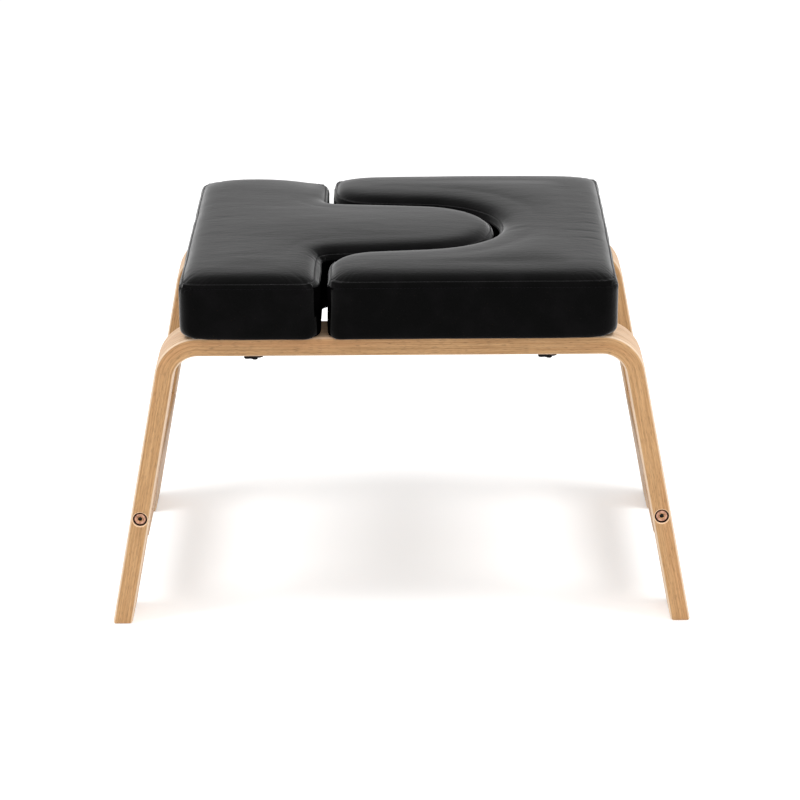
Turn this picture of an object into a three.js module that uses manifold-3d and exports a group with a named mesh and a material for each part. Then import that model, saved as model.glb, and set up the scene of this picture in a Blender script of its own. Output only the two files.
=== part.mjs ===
// A yoga headstand stool: two bent wooden strips joined by two crossbars carry a padded seat in two pieces.
// A T-shaped pad fills the slot of a U-shaped pad, and lifts off to leave room for the head and neck.
// Millimetres and +Z up. X runs across the stool and Y from its front to its back.
// The origin lies on the floor under the middle of the seat.
import * as THREE from "three";
import { mergeVertices } from "three/addons/utils/BufferGeometryUtils.js";
import Module from "manifold-3d";

// Bent wooden frames
const FOOT_SPAN = 600;
const FRAME_DEPTH = 366;
const FRAME_FORWARD = 5;
const STRIP_WIDTH = 56;
const STRIP_THICKNESS = 19.6;
const BAR_TOP = 312.6;
const LEG_SPLAY = THREE.MathUtils.degToRad(10.8);
const BEND_OUTER_RADIUS = 45;
const STRIP_EDGE_ROUND = 2.4;
const FOOT_EDGE_ROUND = 2.8;

// Crossbars between the two frames
const CROSSBAR_HEIGHT = 70;
const CROSSBAR_THICKNESS = 21;
const CROSSBAR_EDGE_ROUND = 3;

// Connector bolts, barrel nuts and dowels
const BOLT_HEIGHT = 117;
const BOLT_ABOVE_CROSSBAR_MIDDLE = 6;
const BOLT_DIAMETER = 6;
const BOLT_HEAD_DIAMETER = 13;
const BOLT_HEAD_HEIGHT = 4.5;
const BOLT_HEAD_RECESS = 1.2;
const BOLT_HEAD_BEVEL = 0.8;
const BOLT_HEAD_DISH = 0.7;
const BOLT_HEAD_RIM = 1.6;
const BOLT_END_BEVEL = 1;
const BOLT_PAST_NUT = 9;
const SOCKET_ACROSS_FLATS = 5;
const SOCKET_DEPTH = 3.2;
const COUNTERBORE_DIAMETER = 14.6;
const BOLT_HOLE_DIAMETER = 7;
const BARREL_NUT_DIAMETER = 10;
const BARREL_NUT_LENGTH = 15;
const BARREL_NUT_SETBACK = 27;
const BARREL_NUT_BEVEL = 0.7;
const BARREL_NUT_SLOT_WIDTH = 1.6;
const BARREL_NUT_SLOT_DEPTH = 1.5;
const DOWEL_DIAMETER = 8;
const DOWEL_LENGTH = 30;
const DOWEL_BEVEL = 1;
const DOWEL_BELOW_BOLT = 26;

// Seat pads, as seen from above
const PAD_LENGTH = 443;
const PAD_OVERHANG = 10;
const T_HEAD_LENGTH = 143.5;
const PAD_GAP = 5.4;
const SLOT_GAP = 5.5;
const SLOT_END_RADIUS = 86;
const SLOT_END_CENTRE = 20;
const SLOT_TAPER = THREE.MathUtils.degToRad(6.5);
const PAD_CORNER_RADIUS = 11;
const CROWN_CORNER_RADIUS = 24;
const T_HEAD_CORNER_RADIUS = 19;
const T_INNER_CORNER_RADIUS = 12;
const U_MOUTH_RADIUS = 46;

// Seat pads, from the bar upwards
const BAND_HEIGHT = 52.4;
const SEAM_STRIP_HEIGHT = 6;
const SEAM_STRIP_FOOT_INSET = 0.7;
const SEAM_INSET = 3;
const SEAM_GROOVE = 0.8;
const SEAM_LIP = 0.8;
const T_CROWN = 7.4;
const U_CROWN = 11.2;
const CROWN_RUN = 40;
const BAND_FOOT_ROUND = 4;
const COVER_WALL = 1.4;
const COVER_MARGIN = 20;
const BOARD_THICKNESS = 12;
const LINING_THICKNESS = 0.8;

// Screws with lobed heads that hold the pads to the bars
const KNOB_SPACING = 298;
const KNOB_DIAMETER = 21;
const KNOB_LOBE_DEPTH = 1.6;
const KNOB_GRIP_HEIGHT = 6;
const KNOB_COLLAR_HEIGHT = 2;
const KNOB_COLLAR_DIAMETER = 12;
const KNOB_EDGE_ROUND = 1.4;
const KNOB_FLOOR = 2;
const STUD_DIAMETER = 6;
const STUD_HOLE_DIAMETER = 7.4;
const STUD_PAST_BOARD = 3;
const WASHER_DIAMETER = 18;
const WASHER_THICKNESS = 1.2;
const TEE_NUT_FLANGE_DIAMETER = 20;
const TEE_NUT_FLANGE_THICKNESS = 1.4;
const TEE_NUT_BARREL_DIAMETER = 8.4;
const TEE_NUT_BARREL_LENGTH = 9;

// Room between pieces
const SEAT_GAP = 0.3;
const BORE_CLEARANCE = 0.25;
const CUT_OVERRUN = 4;
const HOLE_END_ROOM = 1.5;
const WELD_DISTANCE_SHARE = 0.001;

// Counts that set how finely round shapes are drawn
const KNOB_LOBES = 5;
const LOBE_STEPS = 6;
const EDGE_STEPS = 3;
const BEND_STEPS = 9;
const HOLE_SIDES = 16;
const BOLT_SIDES = 16;
const ROD_SIDES = 12;
const SOCKET_SIDES = 6;
const CORNER_STEPS = 3;
const MOUTH_STEPS = 6;
const SLOT_END_STEPS = 14;

// Where a crown's rings lie, as shares of its run from the seam, and how high it is there
const CROWN_RUN_SHARES = [0.09, 0.22, 0.4, 0.65, 1];
const CROWN_INSIDE_SHARES = [0.25, 0.55, 1];
const crownShare = (runShare) => 1 - (1 - runShare) ** 3;

// How much of a narrow arm's width a crown's run and a round corner may take
const CROWN_RUN_MOST_SHARE = 0.45;
const MOUTH_RADIUS_MOST_SHARE = 0.5;

// Colours, roughness and metalness
const WOOD = { color: 0xd2a678, roughness: 0.5, metalness: 0 };
const LEATHER = { color: 0x1c1b1d, roughness: 0.45, metalness: 0 };
const FOAM = { color: 0xd9d2b8, roughness: 0.95, metalness: 0 };
const PLYWOOD = { color: 0xb89468, roughness: 0.8, metalness: 0 };
const LINING = { color: 0x17171a, roughness: 0.95, metalness: 0 };
const COPPER = { color: 0xc27a5e, roughness: 0.3, metalness: 1 };
const STEEL = { color: 0x9a9a9c, roughness: 0.35, metalness: 1 };
const BLACK_STEEL = { color: 0x202022, roughness: 0.45, metalness: 1 };
const PLASTIC = { color: 0x121213, roughness: 0.5, metalness: 0 };

const wasm = await Module();
wasm.setup();

// Solids

function positionsOnly(geometry) {
  const bare = geometry.clone();
  bare.deleteAttribute("normal");
  bare.deleteAttribute("uv");
  return mergeVertices(bare, SEAT_GAP * WELD_DISTANCE_SHARE);
}

function toSolid(geometry) {
  const merged = positionsOnly(geometry);
  return new wasm.Manifold(
    new wasm.Mesh({
      numProp: 3,
      vertProperties: new Float32Array(merged.attributes.position.array),
      triVerts: new Uint32Array(merged.index.array),
    }),
  );
}

function toGeometry(solid) {
  const mesh = solid.getMesh();
  const geometry = new THREE.BufferGeometry();
  const positions = new Float32Array(mesh.vertProperties);
  geometry.setAttribute("position", new THREE.BufferAttribute(positions, 3));
  geometry.setIndex(new THREE.BufferAttribute(new Uint32Array(mesh.triVerts), 1));
  geometry.computeVertexNormals();
  return geometry;
}

function cutFrom(geometry, tools) {
  const left = tools.reduce((solid, tool) => solid.subtract(toSolid(tool)), toSolid(geometry));
  return toGeometry(left);
}

// Twice the area that a ring of points goes round, counted positive when it runs anticlockwise.
function ringArea(points) {
  return points.reduce((sum, a, i) => {
    const b = points[(i + 1) % points.length];
    return sum + a.x * b.y - b.x * a.y;
  }, 0);
}

// The triangles that fill a ring seen from above, wound the way the ring runs.
function capTriangles(ring) {
  const flat = ring.map((p) => new THREE.Vector2(p.x, p.y));
  const runs = Math.sign(ringArea(flat));
  return THREE.ShapeUtils.triangulateShape(flat, []).map((triangle) => {
    const same = Math.sign(ringArea(triangle.map((i) => flat[i]))) === runs;
    return same ? triangle : [...triangle].reverse();
  });
}

// A closed surface through rings of as many points each, with its first and last rings filled.
function loft(rings) {
  const count = rings[0].length;
  const positions = rings.flat().flatMap((p) => [p.x, p.y, p.z]);
  const triangles = [];
  for (let ring = 0; ring + 1 < rings.length; ring++) {
    for (let i = 0; i < count; i++) {
      const a = ring * count + i;
      const b = ring * count + ((i + 1) % count);
      triangles.push([a, b, b + count], [a, b + count, a + count]);
    }
  }
  const last = (rings.length - 1) * count;
  capTriangles(rings[0]).forEach((t) => triangles.push([...t].reverse()));
  capTriangles(rings.at(-1)).forEach((t) => triangles.push(t.map((i) => i + last)));
  const geometry = new THREE.BufferGeometry();
  geometry.setAttribute("position", new THREE.Float32BufferAttribute(positions, 3));
  geometry.setIndex(facingOut(positions, triangles).flat());
  geometry.computeVertexNormals();
  return geometry;
}

// The triangles of a closed surface, all turned round if they faced inwards.
function facingOut(positions, triangles) {
  const corner = (i) => new THREE.Vector3().fromArray(positions, 3 * i);
  const volume = triangles.reduce((sum, [i, j, k]) => {
    return sum + corner(i).dot(corner(j).cross(corner(k)));
  }, 0);
  return volume > 0 ? triangles : triangles.map((t) => [...t].reverse());
}

function rodAlongY(diameter, length, sides) {
  return new THREE.CylinderGeometry(diameter / 2, diameter / 2, length, sides);
}

function rodAlongZ(diameter, length, sides) {
  return rodAlongY(diameter, length, sides).rotateX(Math.PI / 2);
}

function rodAlongX(diameter, length, sides) {
  return rodAlongY(diameter, length, sides).rotateZ(Math.PI / 2);
}

// A turned piece standing on its base: its profile is a list of [radius, height].
function turned(profile, sides) {
  const points = profile.map(([radius, height]) => new THREE.Vector2(radius, height));
  return new THREE.LatheGeometry(points, sides).rotateX(Math.PI / 2);
}

// A rectangle with round corners about the origin, as a list of points.
function roundedRectangle(width, height, radius, steps) {
  const corners = [
    [1, 1],
    [-1, 1],
    [-1, -1],
    [1, -1],
  ];
  return corners.flatMap(([sx, sy], quarter) =>
    Array.from({ length: steps + 1 }, (_, i) => {
      const angle = (quarter + i / steps) * (Math.PI / 2);
      return new THREE.Vector2(
        sx * (width / 2 - radius) + radius * Math.cos(angle),
        sy * (height / 2 - radius) + radius * Math.sin(angle),
      );
    }),
  );
}

const stool = new THREE.Group();

function addPiece(parent, name, geometry, finish) {
  const mesh = new THREE.Mesh(geometry, new THREE.MeshStandardMaterial(finish));
  mesh.name = name;
  parent.add(mesh);
  return mesh;
}

const SIDES = [
  { name: "left", sign: -1 },
  { name: "right", sign: 1 },
];
const ENDS = [
  { name: "front", sign: -1 },
  { name: "rear", sign: 1 },
];
const CORNERS = ENDS.flatMap((end) => SIDES.map((side) => ({ end, side, name: `${end.name}_${side.name}` })));

// Places that several pieces share

// The middle of a leg's thickness at a height, measured across from the stool's middle.
const legMiddleAt = (height) =>
  FOOT_SPAN / 2 - height * Math.tan(LEG_SPLAY) - STRIP_THICKNESS / 2 / Math.cos(LEG_SPLAY);
const stripMiddleY = (end) => end.sign * (FRAME_DEPTH / 2 - STRIP_WIDTH / 2) - FRAME_FORWARD;
const stripOuterY = (end) => end.sign * (FRAME_DEPTH / 2) - FRAME_FORWARD;
const stripInnerY = (end) => end.sign * (FRAME_DEPTH / 2 - STRIP_WIDTH) - FRAME_FORWARD;
const BAR_BOTTOM = BAR_TOP - STRIP_THICKNESS;
const COUNTERBORE_DEPTH = BOLT_HEAD_RECESS + BOLT_HEAD_HEIGHT + SEAT_GAP;
const CROSSBAR_LENGTH = FRAME_DEPTH - 2 * STRIP_WIDTH - 2 * SEAT_GAP;
const BOLT_SHANK_LENGTH = STRIP_WIDTH - COUNTERBORE_DEPTH + BARREL_NUT_SETBACK + BOLT_PAST_NUT + SEAT_GAP;
const DOWEL_HOLE_DEPTH = DOWEL_LENGTH / 2 + HOLE_END_ROOM;
const PAD_BOTTOM = BAR_TOP + SEAT_GAP;
const BOARD_BOTTOM = PAD_BOTTOM + COVER_WALL + SEAT_GAP;
const BOARD_TOP = BOARD_BOTTOM + BOARD_THICKNESS;
const STITCH_HEIGHT = PAD_BOTTOM + BAND_HEIGHT;
const SEAM_HEIGHT = STITCH_HEIGHT + SEAM_STRIP_HEIGHT;
const COVER_INSIDE_INSET = SEAM_INSET + SEAM_GROOVE + COVER_WALL;
const PAD_DEPTH = FRAME_DEPTH + 2 * PAD_OVERHANG;
const T_PAD_RIGHT = T_HEAD_LENGTH - PAD_LENGTH / 2;
const U_PAD_LEFT = T_PAD_RIGHT + PAD_GAP;

// Bent frames

// Stations along one frame from the right foot to the left: the outer face's place and its normal's angle.
function frameStations() {
  const bendZ = BAR_TOP - BEND_OUTER_RADIUS;
  const bendX =
    FOOT_SPAN / 2 - (BEND_OUTER_RADIUS + bendZ * Math.sin(LEG_SPLAY)) / Math.cos(LEG_SPLAY);
  const bend = Array.from({ length: BEND_STEPS + 1 }, (_, i) => {
    const angle = LEG_SPLAY + (i / BEND_STEPS) * (Math.PI / 2 - LEG_SPLAY);
    return {
      x: bendX + BEND_OUTER_RADIUS * Math.cos(angle),
      z: bendZ + BEND_OUTER_RADIUS * Math.sin(angle),
      angle,
    };
  });
  const mirrored = bend.map(({ x, z, angle }) => ({ x: -x, z, angle: Math.PI - angle })).reverse();
  return [...bend, ...mirrored];
}

// A foot's section: the leg's own section carried along the leg to a height, drawn in by a rounding.
function footSection(section, side, height, drawnIn) {
  const along = new THREE.Vector3(-side * Math.sin(LEG_SPLAY), 0, Math.cos(LEG_SPLAY));
  const across = new THREE.Vector3(side * Math.cos(LEG_SPLAY), 0, Math.sin(LEG_SPLAY));
  const inAcross = 1 - (2 * drawnIn) / STRIP_THICKNESS;
  const inDepth = 1 - (2 * drawnIn) / STRIP_WIDTH;
  const outer = new THREE.Vector3((side * FOOT_SPAN) / 2, 0, 0);
  return section.map((s) => {
    const p = outer.clone().addScaledVector(across, s.x * inAcross - STRIP_THICKNESS / 2);
    p.y = s.y * inDepth;
    return p.addScaledVector(along, (height - p.z) / along.z);
  });
}

function bentFrame(end) {
  const section = roundedRectangle(STRIP_THICKNESS, STRIP_WIDTH, STRIP_EDGE_ROUND, EDGE_STEPS);
  const ringAt = ({ x, z, angle }) =>
    section.map((s) => {
      const inward = s.x - STRIP_THICKNESS / 2;
      return new THREE.Vector3(x + inward * Math.cos(angle), s.y, z + inward * Math.sin(angle));
    });
  const eased = FOOT_EDGE_ROUND * (1 - Math.SQRT1_2);
  const rings = [
    footSection(section, 1, 0, FOOT_EDGE_ROUND),
    footSection(section, 1, eased, eased),
    footSection(section, 1, FOOT_EDGE_ROUND, 0),
    ...frameStations().map(ringAt),
    footSection(section, -1, FOOT_EDGE_ROUND, 0),
    footSection(section, -1, eased, eased),
    footSection(section, -1, 0, FOOT_EDGE_ROUND),
  ];
  const strip = loft(rings).translate(0, stripMiddleY(end), 0);
  const tools = SIDES.flatMap((side) => [...legHoles(side, end), knobHole(side, end)]);
  return cutFrom(strip, tools);
}

// The counterbored bolt hole and the dowel's blind hole in one leg.
function legHoles(side, end) {
  const x = side.sign * legMiddleAt(BOLT_HEIGHT);
  const outerY = stripOuterY(end);
  const head = rodAlongY(COUNTERBORE_DIAMETER, 2 * COUNTERBORE_DEPTH, HOLE_SIDES);
  const shank = rodAlongY(BOLT_HOLE_DIAMETER, 2 * STRIP_WIDTH, HOLE_SIDES);
  const pin = rodAlongY(DOWEL_DIAMETER + 2 * BORE_CLEARANCE, 2 * DOWEL_HOLE_DEPTH, ROD_SIDES);
  return [
    head.translate(x, outerY, BOLT_HEIGHT),
    shank.translate(x, outerY - (end.sign * STRIP_WIDTH) / 2, BOLT_HEIGHT),
    pin.translate(
      x + side.sign * DOWEL_BELOW_BOLT * Math.sin(LEG_SPLAY),
      stripInnerY(end),
      BOLT_HEIGHT - DOWEL_BELOW_BOLT * Math.cos(LEG_SPLAY),
    ),
  ];
}

function knobHole(side, end) {
  const hole = rodAlongZ(STUD_HOLE_DIAMETER, STRIP_THICKNESS + 2 * CUT_OVERRUN, HOLE_SIDES);
  return hole.translate((side.sign * KNOB_SPACING) / 2, stripMiddleY(end), BAR_TOP - STRIP_THICKNESS / 2);
}

ENDS.forEach((end) => addPiece(stool, `${end.name}_frame`, bentFrame(end), WOOD));

// Crossbars with their fasteners, each side in a group that leans with its legs.
// In that group X points out of the stool, Z runs up the leg, and the bolts' axis is at the origin.

function crossbar() {
  const outline = roundedRectangle(
    CROSSBAR_THICKNESS,
    CROSSBAR_HEIGHT,
    CROSSBAR_EDGE_ROUND,
    EDGE_STEPS,
  );
  const board = new THREE.ExtrudeGeometry(new THREE.Shape(outline), {
    depth: CROSSBAR_LENGTH,
    bevelEnabled: false,
  })
    .rotateX(Math.PI / 2)
    .translate(0, CROSSBAR_LENGTH / 2, -BOLT_ABOVE_CROSSBAR_MIDDLE);
  return cutFrom(board, ENDS.flatMap((end) => crossbarHoles(end)));
}

// At one end: the bolt's hole, the barrel nut's hole from the inner face, and the dowel's hole.
function crossbarHoles(end) {
  const endY = (end.sign * CROSSBAR_LENGTH) / 2;
  const nutY = endY - end.sign * BARREL_NUT_SETBACK;
  const shankRoom = BARREL_NUT_SETBACK + BOLT_PAST_NUT + HOLE_END_ROOM;
  const nutRoom = BARREL_NUT_LENGTH / 2 + SEAT_GAP;
  const nutHoleLength = nutRoom + CROSSBAR_THICKNESS / 2 + CUT_OVERRUN;
  const shank = rodAlongY(BOLT_HOLE_DIAMETER, 2 * shankRoom, HOLE_SIDES).translate(0, endY, 0);
  const nut = rodAlongX(BARREL_NUT_DIAMETER + 2 * BORE_CLEARANCE, nutHoleLength, HOLE_SIDES);
  const pin = rodAlongY(DOWEL_DIAMETER + 2 * BORE_CLEARANCE, 2 * DOWEL_HOLE_DEPTH, ROD_SIDES);
  return [
    shank,
    nut.translate(nutRoom - nutHoleLength / 2, nutY, 0),
    pin.translate(0, endY, -DOWEL_BELOW_BOLT),
  ];
}

// A bolt standing on its shank's end, with a dished head and a hexagon socket.
function connectorBolt() {
  const shank = BOLT_DIAMETER / 2;
  const head = BOLT_HEAD_DIAMETER / 2;
  const top = BOLT_SHANK_LENGTH + BOLT_HEAD_HEIGHT;
  const body = turned(
    [
      [0, 0],
      [shank - BOLT_END_BEVEL, 0],
      [shank, BOLT_END_BEVEL],
      [shank, BOLT_SHANK_LENGTH],
      [head, BOLT_SHANK_LENGTH],
      [head, top - BOLT_HEAD_BEVEL],
      [head - BOLT_HEAD_BEVEL, top],
      [head - BOLT_HEAD_RIM, top],
      [head - 2 * BOLT_HEAD_RIM, top - BOLT_HEAD_DISH],
      [0, top - BOLT_HEAD_DISH],
    ],
    BOLT_SIDES,
  );
  const acrossCorners = SOCKET_ACROSS_FLATS / Math.cos(Math.PI / SOCKET_SIDES);
  const socket = rodAlongZ(acrossCorners, 2 * SOCKET_DEPTH, SOCKET_SIDES);
  return cutFrom(body, [socket.translate(0, 0, top - BOLT_HEAD_DISH)]);
}

// A barrel nut lying along X, with the bolt's hole through it and a screwdriver slot in its inner end.
function barrelNut() {
  const radius = BARREL_NUT_DIAMETER / 2;
  const body = turned(
    [
      [0, 0],
      [radius - BARREL_NUT_BEVEL, 0],
      [radius, BARREL_NUT_BEVEL],
      [radius, BARREL_NUT_LENGTH - BARREL_NUT_BEVEL],
      [radius - BARREL_NUT_BEVEL, BARREL_NUT_LENGTH],
      [0, BARREL_NUT_LENGTH],
    ],
    BOLT_SIDES,
  )
    .rotateY(Math.PI / 2)
    .translate(-BARREL_NUT_LENGTH / 2, 0, 0);
  const thread = rodAlongY(BOLT_DIAMETER + 2 * BORE_CLEARANCE, 2 * BARREL_NUT_DIAMETER, HOLE_SIDES);
  const slot = new THREE.BoxGeometry(
    2 * BARREL_NUT_SLOT_DEPTH,
    BARREL_NUT_SLOT_WIDTH,
    2 * BARREL_NUT_DIAMETER,
  ).translate(-BARREL_NUT_LENGTH / 2, 0, 0);
  return cutFrom(body, [thread, slot]);
}

function dowel() {
  const radius = DOWEL_DIAMETER / 2;
  return turned(
    [
      [0, 0],
      [radius - DOWEL_BEVEL, 0],
      [radius, DOWEL_BEVEL],
      [radius, DOWEL_LENGTH - DOWEL_BEVEL],
      [radius - DOWEL_BEVEL, DOWEL_LENGTH],
      [0, DOWEL_LENGTH],
    ],
    ROD_SIDES,
  ).translate(0, 0, -DOWEL_LENGTH / 2);
}

// Turns a piece that stands along Z so that its top points out of the stool's front or rear.
const facingEnd = (geometry, end) => geometry.rotateX((-end.sign * Math.PI) / 2);

for (const side of SIDES) {
  const leaning = new THREE.Group();
  leaning.position.set(side.sign * legMiddleAt(BOLT_HEIGHT), -FRAME_FORWARD, BOLT_HEIGHT);
  leaning.rotation.y = side.sign > 0 ? -LEG_SPLAY : LEG_SPLAY;
  stool.add(leaning);
  const inward = side.sign > 0 ? 0 : Math.PI;
  addPiece(leaning, `${side.name}_crossbar`, crossbar().rotateZ(inward), WOOD);
  for (const end of ENDS) {
    const corner = `${end.name}_${side.name}`;
    const faceY = (end.sign * FRAME_DEPTH) / 2;
    const jointY = (end.sign * CROSSBAR_LENGTH) / 2;
    const headTopY = faceY - end.sign * BOLT_HEAD_RECESS;
    const shankEndY = headTopY - end.sign * (BOLT_HEAD_HEIGHT + BOLT_SHANK_LENGTH);
    const bolt = facingEnd(connectorBolt(), end).translate(0, shankEndY, 0);
    addPiece(leaning, `bolt_${corner}`, bolt, COPPER);
    const nutY = jointY - end.sign * BARREL_NUT_SETBACK;
    addPiece(leaning, `barrel_nut_${corner}`, barrelNut().rotateZ(inward).translate(0, nutY, 0), STEEL);
    const pinY = jointY + (end.sign * SEAT_GAP) / 2;
    const pin = facingEnd(dowel(), end).translate(0, pinY, -DOWEL_BELOW_BOLT);
    addPiece(leaning, `dowel_${corner}`, pin, WOOD);
  }
}

// Outlines of the pads

// An outline is a list of corners run anticlockwise, each with its place, its radius and its steps.
// Its points are given for any inset, so that every layer of a pad follows the same outline.
// A corner that bulges changes its radius towards crownRadius, which it has where the crown is full.
function outlinePoints(corners, inset) {
  const count = corners.length;
  const edges = corners.map((corner, i) => {
    const next = corners[(i + 1) % count];
    const along = new THREE.Vector2(next.x - corner.x, next.y - corner.y).normalize();
    const inwards = new THREE.Vector2(-along.y, along.x);
    return { along, inwards, reach: inwards.x * corner.x + inwards.y * corner.y + inset };
  });
  return corners.flatMap((corner, i) => {
    const before = edges[(i + count - 1) % count];
    return cornerPoints(corner, before, edges[i], inset);
  });
}

// The arc that rounds one corner between the edge that comes in and the edge that goes out.
function cornerPoints(corner, before, after, inset) {
  const turn = before.along.cross(after.along);
  const bulges = turn > 0;
  const eased = THREE.MathUtils.lerp(corner.radius, corner.crownRadius, inset / CROWN_REACH);
  const radius = bulges ? Math.max(eased, COVER_WALL / 2) : corner.radius + inset;
  const reach = bulges ? radius : -radius;
  const centre = new THREE.Vector2(
    ((before.reach + reach) * after.inwards.y - (after.reach + reach) * before.inwards.y) / turn,
    ((after.reach + reach) * before.inwards.x - (before.reach + reach) * after.inwards.x) / turn,
  );
  const start = Math.atan2(-before.inwards.y, -before.inwards.x) + (bulges ? 0 : Math.PI);
  const sweep = Math.asin(THREE.MathUtils.clamp(turn, -1, 1));
  const whole = before.along.dot(after.along) >= 0 ? sweep : Math.sign(turn) * Math.PI - sweep;
  return Array.from({ length: corner.steps + 1 }, (_, i) => {
    const angle = start + (whole * i) / corner.steps;
    return new THREE.Vector2(
      centre.x + radius * Math.cos(angle),
      centre.y + radius * Math.sin(angle),
    );
  });
}

// The corner where two sides meet that touch a circle and close in towards +X by the taper each.
const taperedTip = (radius) => SLOT_END_CENTRE + radius / Math.sin(SLOT_TAPER);
const taperedHalfWidth = (radius, x) => (taperedTip(radius) - x) * Math.tan(SLOT_TAPER);

// A crown's run, cut short where it would meet the one from the other edge of a narrow arm.
const ARM_WIDTH = PAD_DEPTH / 2 - taperedHalfWidth(SLOT_END_RADIUS, U_PAD_LEFT);
const BRIDGE_WIDTH = PAD_LENGTH / 2 - SLOT_END_CENTRE - SLOT_END_RADIUS;
const NARROWEST = Math.min(ARM_WIDTH, BRIDGE_WIDTH, T_HEAD_LENGTH);
const CROWN_REACH = Math.min(CROWN_RUN, CROWN_RUN_MOST_SHARE * NARROWEST);
const MOUTH_RADIUS = Math.min(U_MOUTH_RADIUS, MOUTH_RADIUS_MOST_SHARE * ARM_WIDTH);

function tPadOutline() {
  const left = -PAD_LENGTH / 2;
  const right = T_PAD_RIGHT;
  const half = PAD_DEPTH / 2;
  const radius = SLOT_END_RADIUS - SLOT_GAP;
  const root = taperedHalfWidth(radius, right);
  const outer = { radius: PAD_CORNER_RADIUS, crownRadius: CROWN_CORNER_RADIUS, steps: CORNER_STEPS };
  const head = { radius: T_HEAD_CORNER_RADIUS, crownRadius: CROWN_CORNER_RADIUS, steps: CORNER_STEPS };
  const inner = { radius: T_INNER_CORNER_RADIUS, steps: CORNER_STEPS };
  return [
    { x: left, y: -half, ...outer },
    { x: right, y: -half, ...head },
    { x: right, y: -root, ...inner },
    { x: taperedTip(radius), y: 0, radius, crownRadius: radius - CROWN_REACH, steps: SLOT_END_STEPS },
    { x: right, y: root, ...inner },
    { x: right, y: half, ...head },
    { x: left, y: half, ...outer },
  ];
}

function uPadOutline() {
  const left = U_PAD_LEFT;
  const right = PAD_LENGTH / 2;
  const half = PAD_DEPTH / 2;
  const mouthHalf = taperedHalfWidth(SLOT_END_RADIUS, left);
  const outer = { radius: PAD_CORNER_RADIUS, crownRadius: CROWN_CORNER_RADIUS, steps: CORNER_STEPS };
  const arm = { radius: PAD_CORNER_RADIUS, crownRadius: 0, steps: CORNER_STEPS };
  const mouth = { radius: MOUTH_RADIUS, crownRadius: MOUTH_RADIUS - CROWN_REACH, steps: MOUTH_STEPS };
  return [
    { x: left, y: -half, ...arm },
    { x: right, y: -half, ...outer },
    { x: right, y: half, ...outer },
    { x: left, y: half, ...arm },
    { x: left, y: mouthHalf, ...mouth },
    { x: taperedTip(SLOT_END_RADIUS), y: 0, radius: SLOT_END_RADIUS, steps: SLOT_END_STEPS },
    { x: left, y: -mouthHalf, ...mouth },
  ];
}

// Layers of a pad: every profile is a list of [inset from the outline, height].
function layered(outline, profile) {
  return loft(
    profile.map(([inset, height]) =>
      outlinePoints(outline, inset).map((p) => new THREE.Vector3(p.x, p.y, height)),
    ),
  );
}

// The crown's profile from its top down towards the seam, kept inside the cover by a depth.
function crownProfile(crown, depth, start, shares) {
  return [...shares].reverse().map((share) => [
    start + share * (CROWN_REACH - start),
    SEAM_HEIGHT + crown * crownShare(share) - depth,
  ]);
}

// The sewn cover: a crowned top, a seam drawn in all round, a stitched-down strip under it,
// a band, and a margin turned under the board.
function padCover(outline, crown) {
  const outside = [
    ...crownProfile(crown, 0, SEAM_INSET, CROWN_RUN_SHARES),
    [SEAM_INSET, SEAM_HEIGHT + SEAM_LIP / 2],
    [SEAM_INSET + SEAM_GROOVE, SEAM_HEIGHT],
    [SEAM_INSET, SEAM_HEIGHT - SEAM_LIP / 2],
    [SEAM_STRIP_FOOT_INSET, STITCH_HEIGHT + SEAM_LIP],
    [SEAM_STRIP_FOOT_INSET, STITCH_HEIGHT],
    [0, STITCH_HEIGHT - BAND_HEIGHT / 4],
    [0, PAD_BOTTOM + BAND_HEIGHT / 3],
    [SEAM_STRIP_FOOT_INSET, PAD_BOTTOM + BAND_FOOT_ROUND],
    [BAND_FOOT_ROUND / 2, PAD_BOTTOM + BAND_FOOT_ROUND / 4],
    [BAND_FOOT_ROUND, PAD_BOTTOM],
    [COVER_MARGIN, PAD_BOTTOM],
  ];
  const inside = [
    [COVER_MARGIN, PAD_BOTTOM + COVER_WALL],
    [BAND_FOOT_ROUND, PAD_BOTTOM + COVER_WALL],
    [BAND_FOOT_ROUND, STITCH_HEIGHT],
    [COVER_INSIDE_INSET, SEAM_HEIGHT - COVER_WALL],
    ...crownProfile(crown, COVER_WALL, COVER_INSIDE_INSET, CROWN_INSIDE_SHARES).reverse(),
  ];
  return layered(outline, [...outside, ...inside]);
}

// The foam block under the cover, with a pocket over each tee nut and room for its stud.
function padFoam(outline, crown, places) {
  const depth = COVER_WALL + SEAT_GAP;
  const profile = [
    ...crownProfile(crown, depth, COVER_INSIDE_INSET + SEAT_GAP, CROWN_INSIDE_SHARES),
    [COVER_INSIDE_INSET + SEAT_GAP, SEAM_HEIGHT - depth],
    [BAND_FOOT_ROUND + SEAT_GAP, STITCH_HEIGHT - SEAT_GAP],
    [BAND_FOOT_ROUND + SEAT_GAP, BOARD_TOP + SEAT_GAP],
  ];
  const flangeRoom = TEE_NUT_FLANGE_THICKNESS + 2 * SEAT_GAP;
  const studRoom = STUD_PAST_BOARD + HOLE_END_ROOM;
  const tools = places.flatMap(({ x, y }) => [
    rodAlongZ(TEE_NUT_FLANGE_DIAMETER + 2 * SEAT_GAP, 2 * flangeRoom, HOLE_SIDES).translate(x, y, BOARD_TOP),
    rodAlongZ(STUD_HOLE_DIAMETER, 2 * studRoom, HOLE_SIDES).translate(x, y, BOARD_TOP),
  ]);
  return cutFrom(layered(outline, profile), tools);
}

function padBoard(outline, places) {
  const inset = BAND_FOOT_ROUND + SEAT_GAP;
  const board = layered(outline, [
    [inset, BOARD_BOTTOM],
    [inset, BOARD_TOP],
  ]);
  const diameter = TEE_NUT_BARREL_DIAMETER + 2 * BORE_CLEARANCE;
  const tools = places.map(({ x, y }) =>
    rodAlongZ(diameter, 2 * BOARD_THICKNESS + CUT_OVERRUN, HOLE_SIDES).translate(x, y, BOARD_TOP),
  );
  return cutFrom(board, tools);
}

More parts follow.
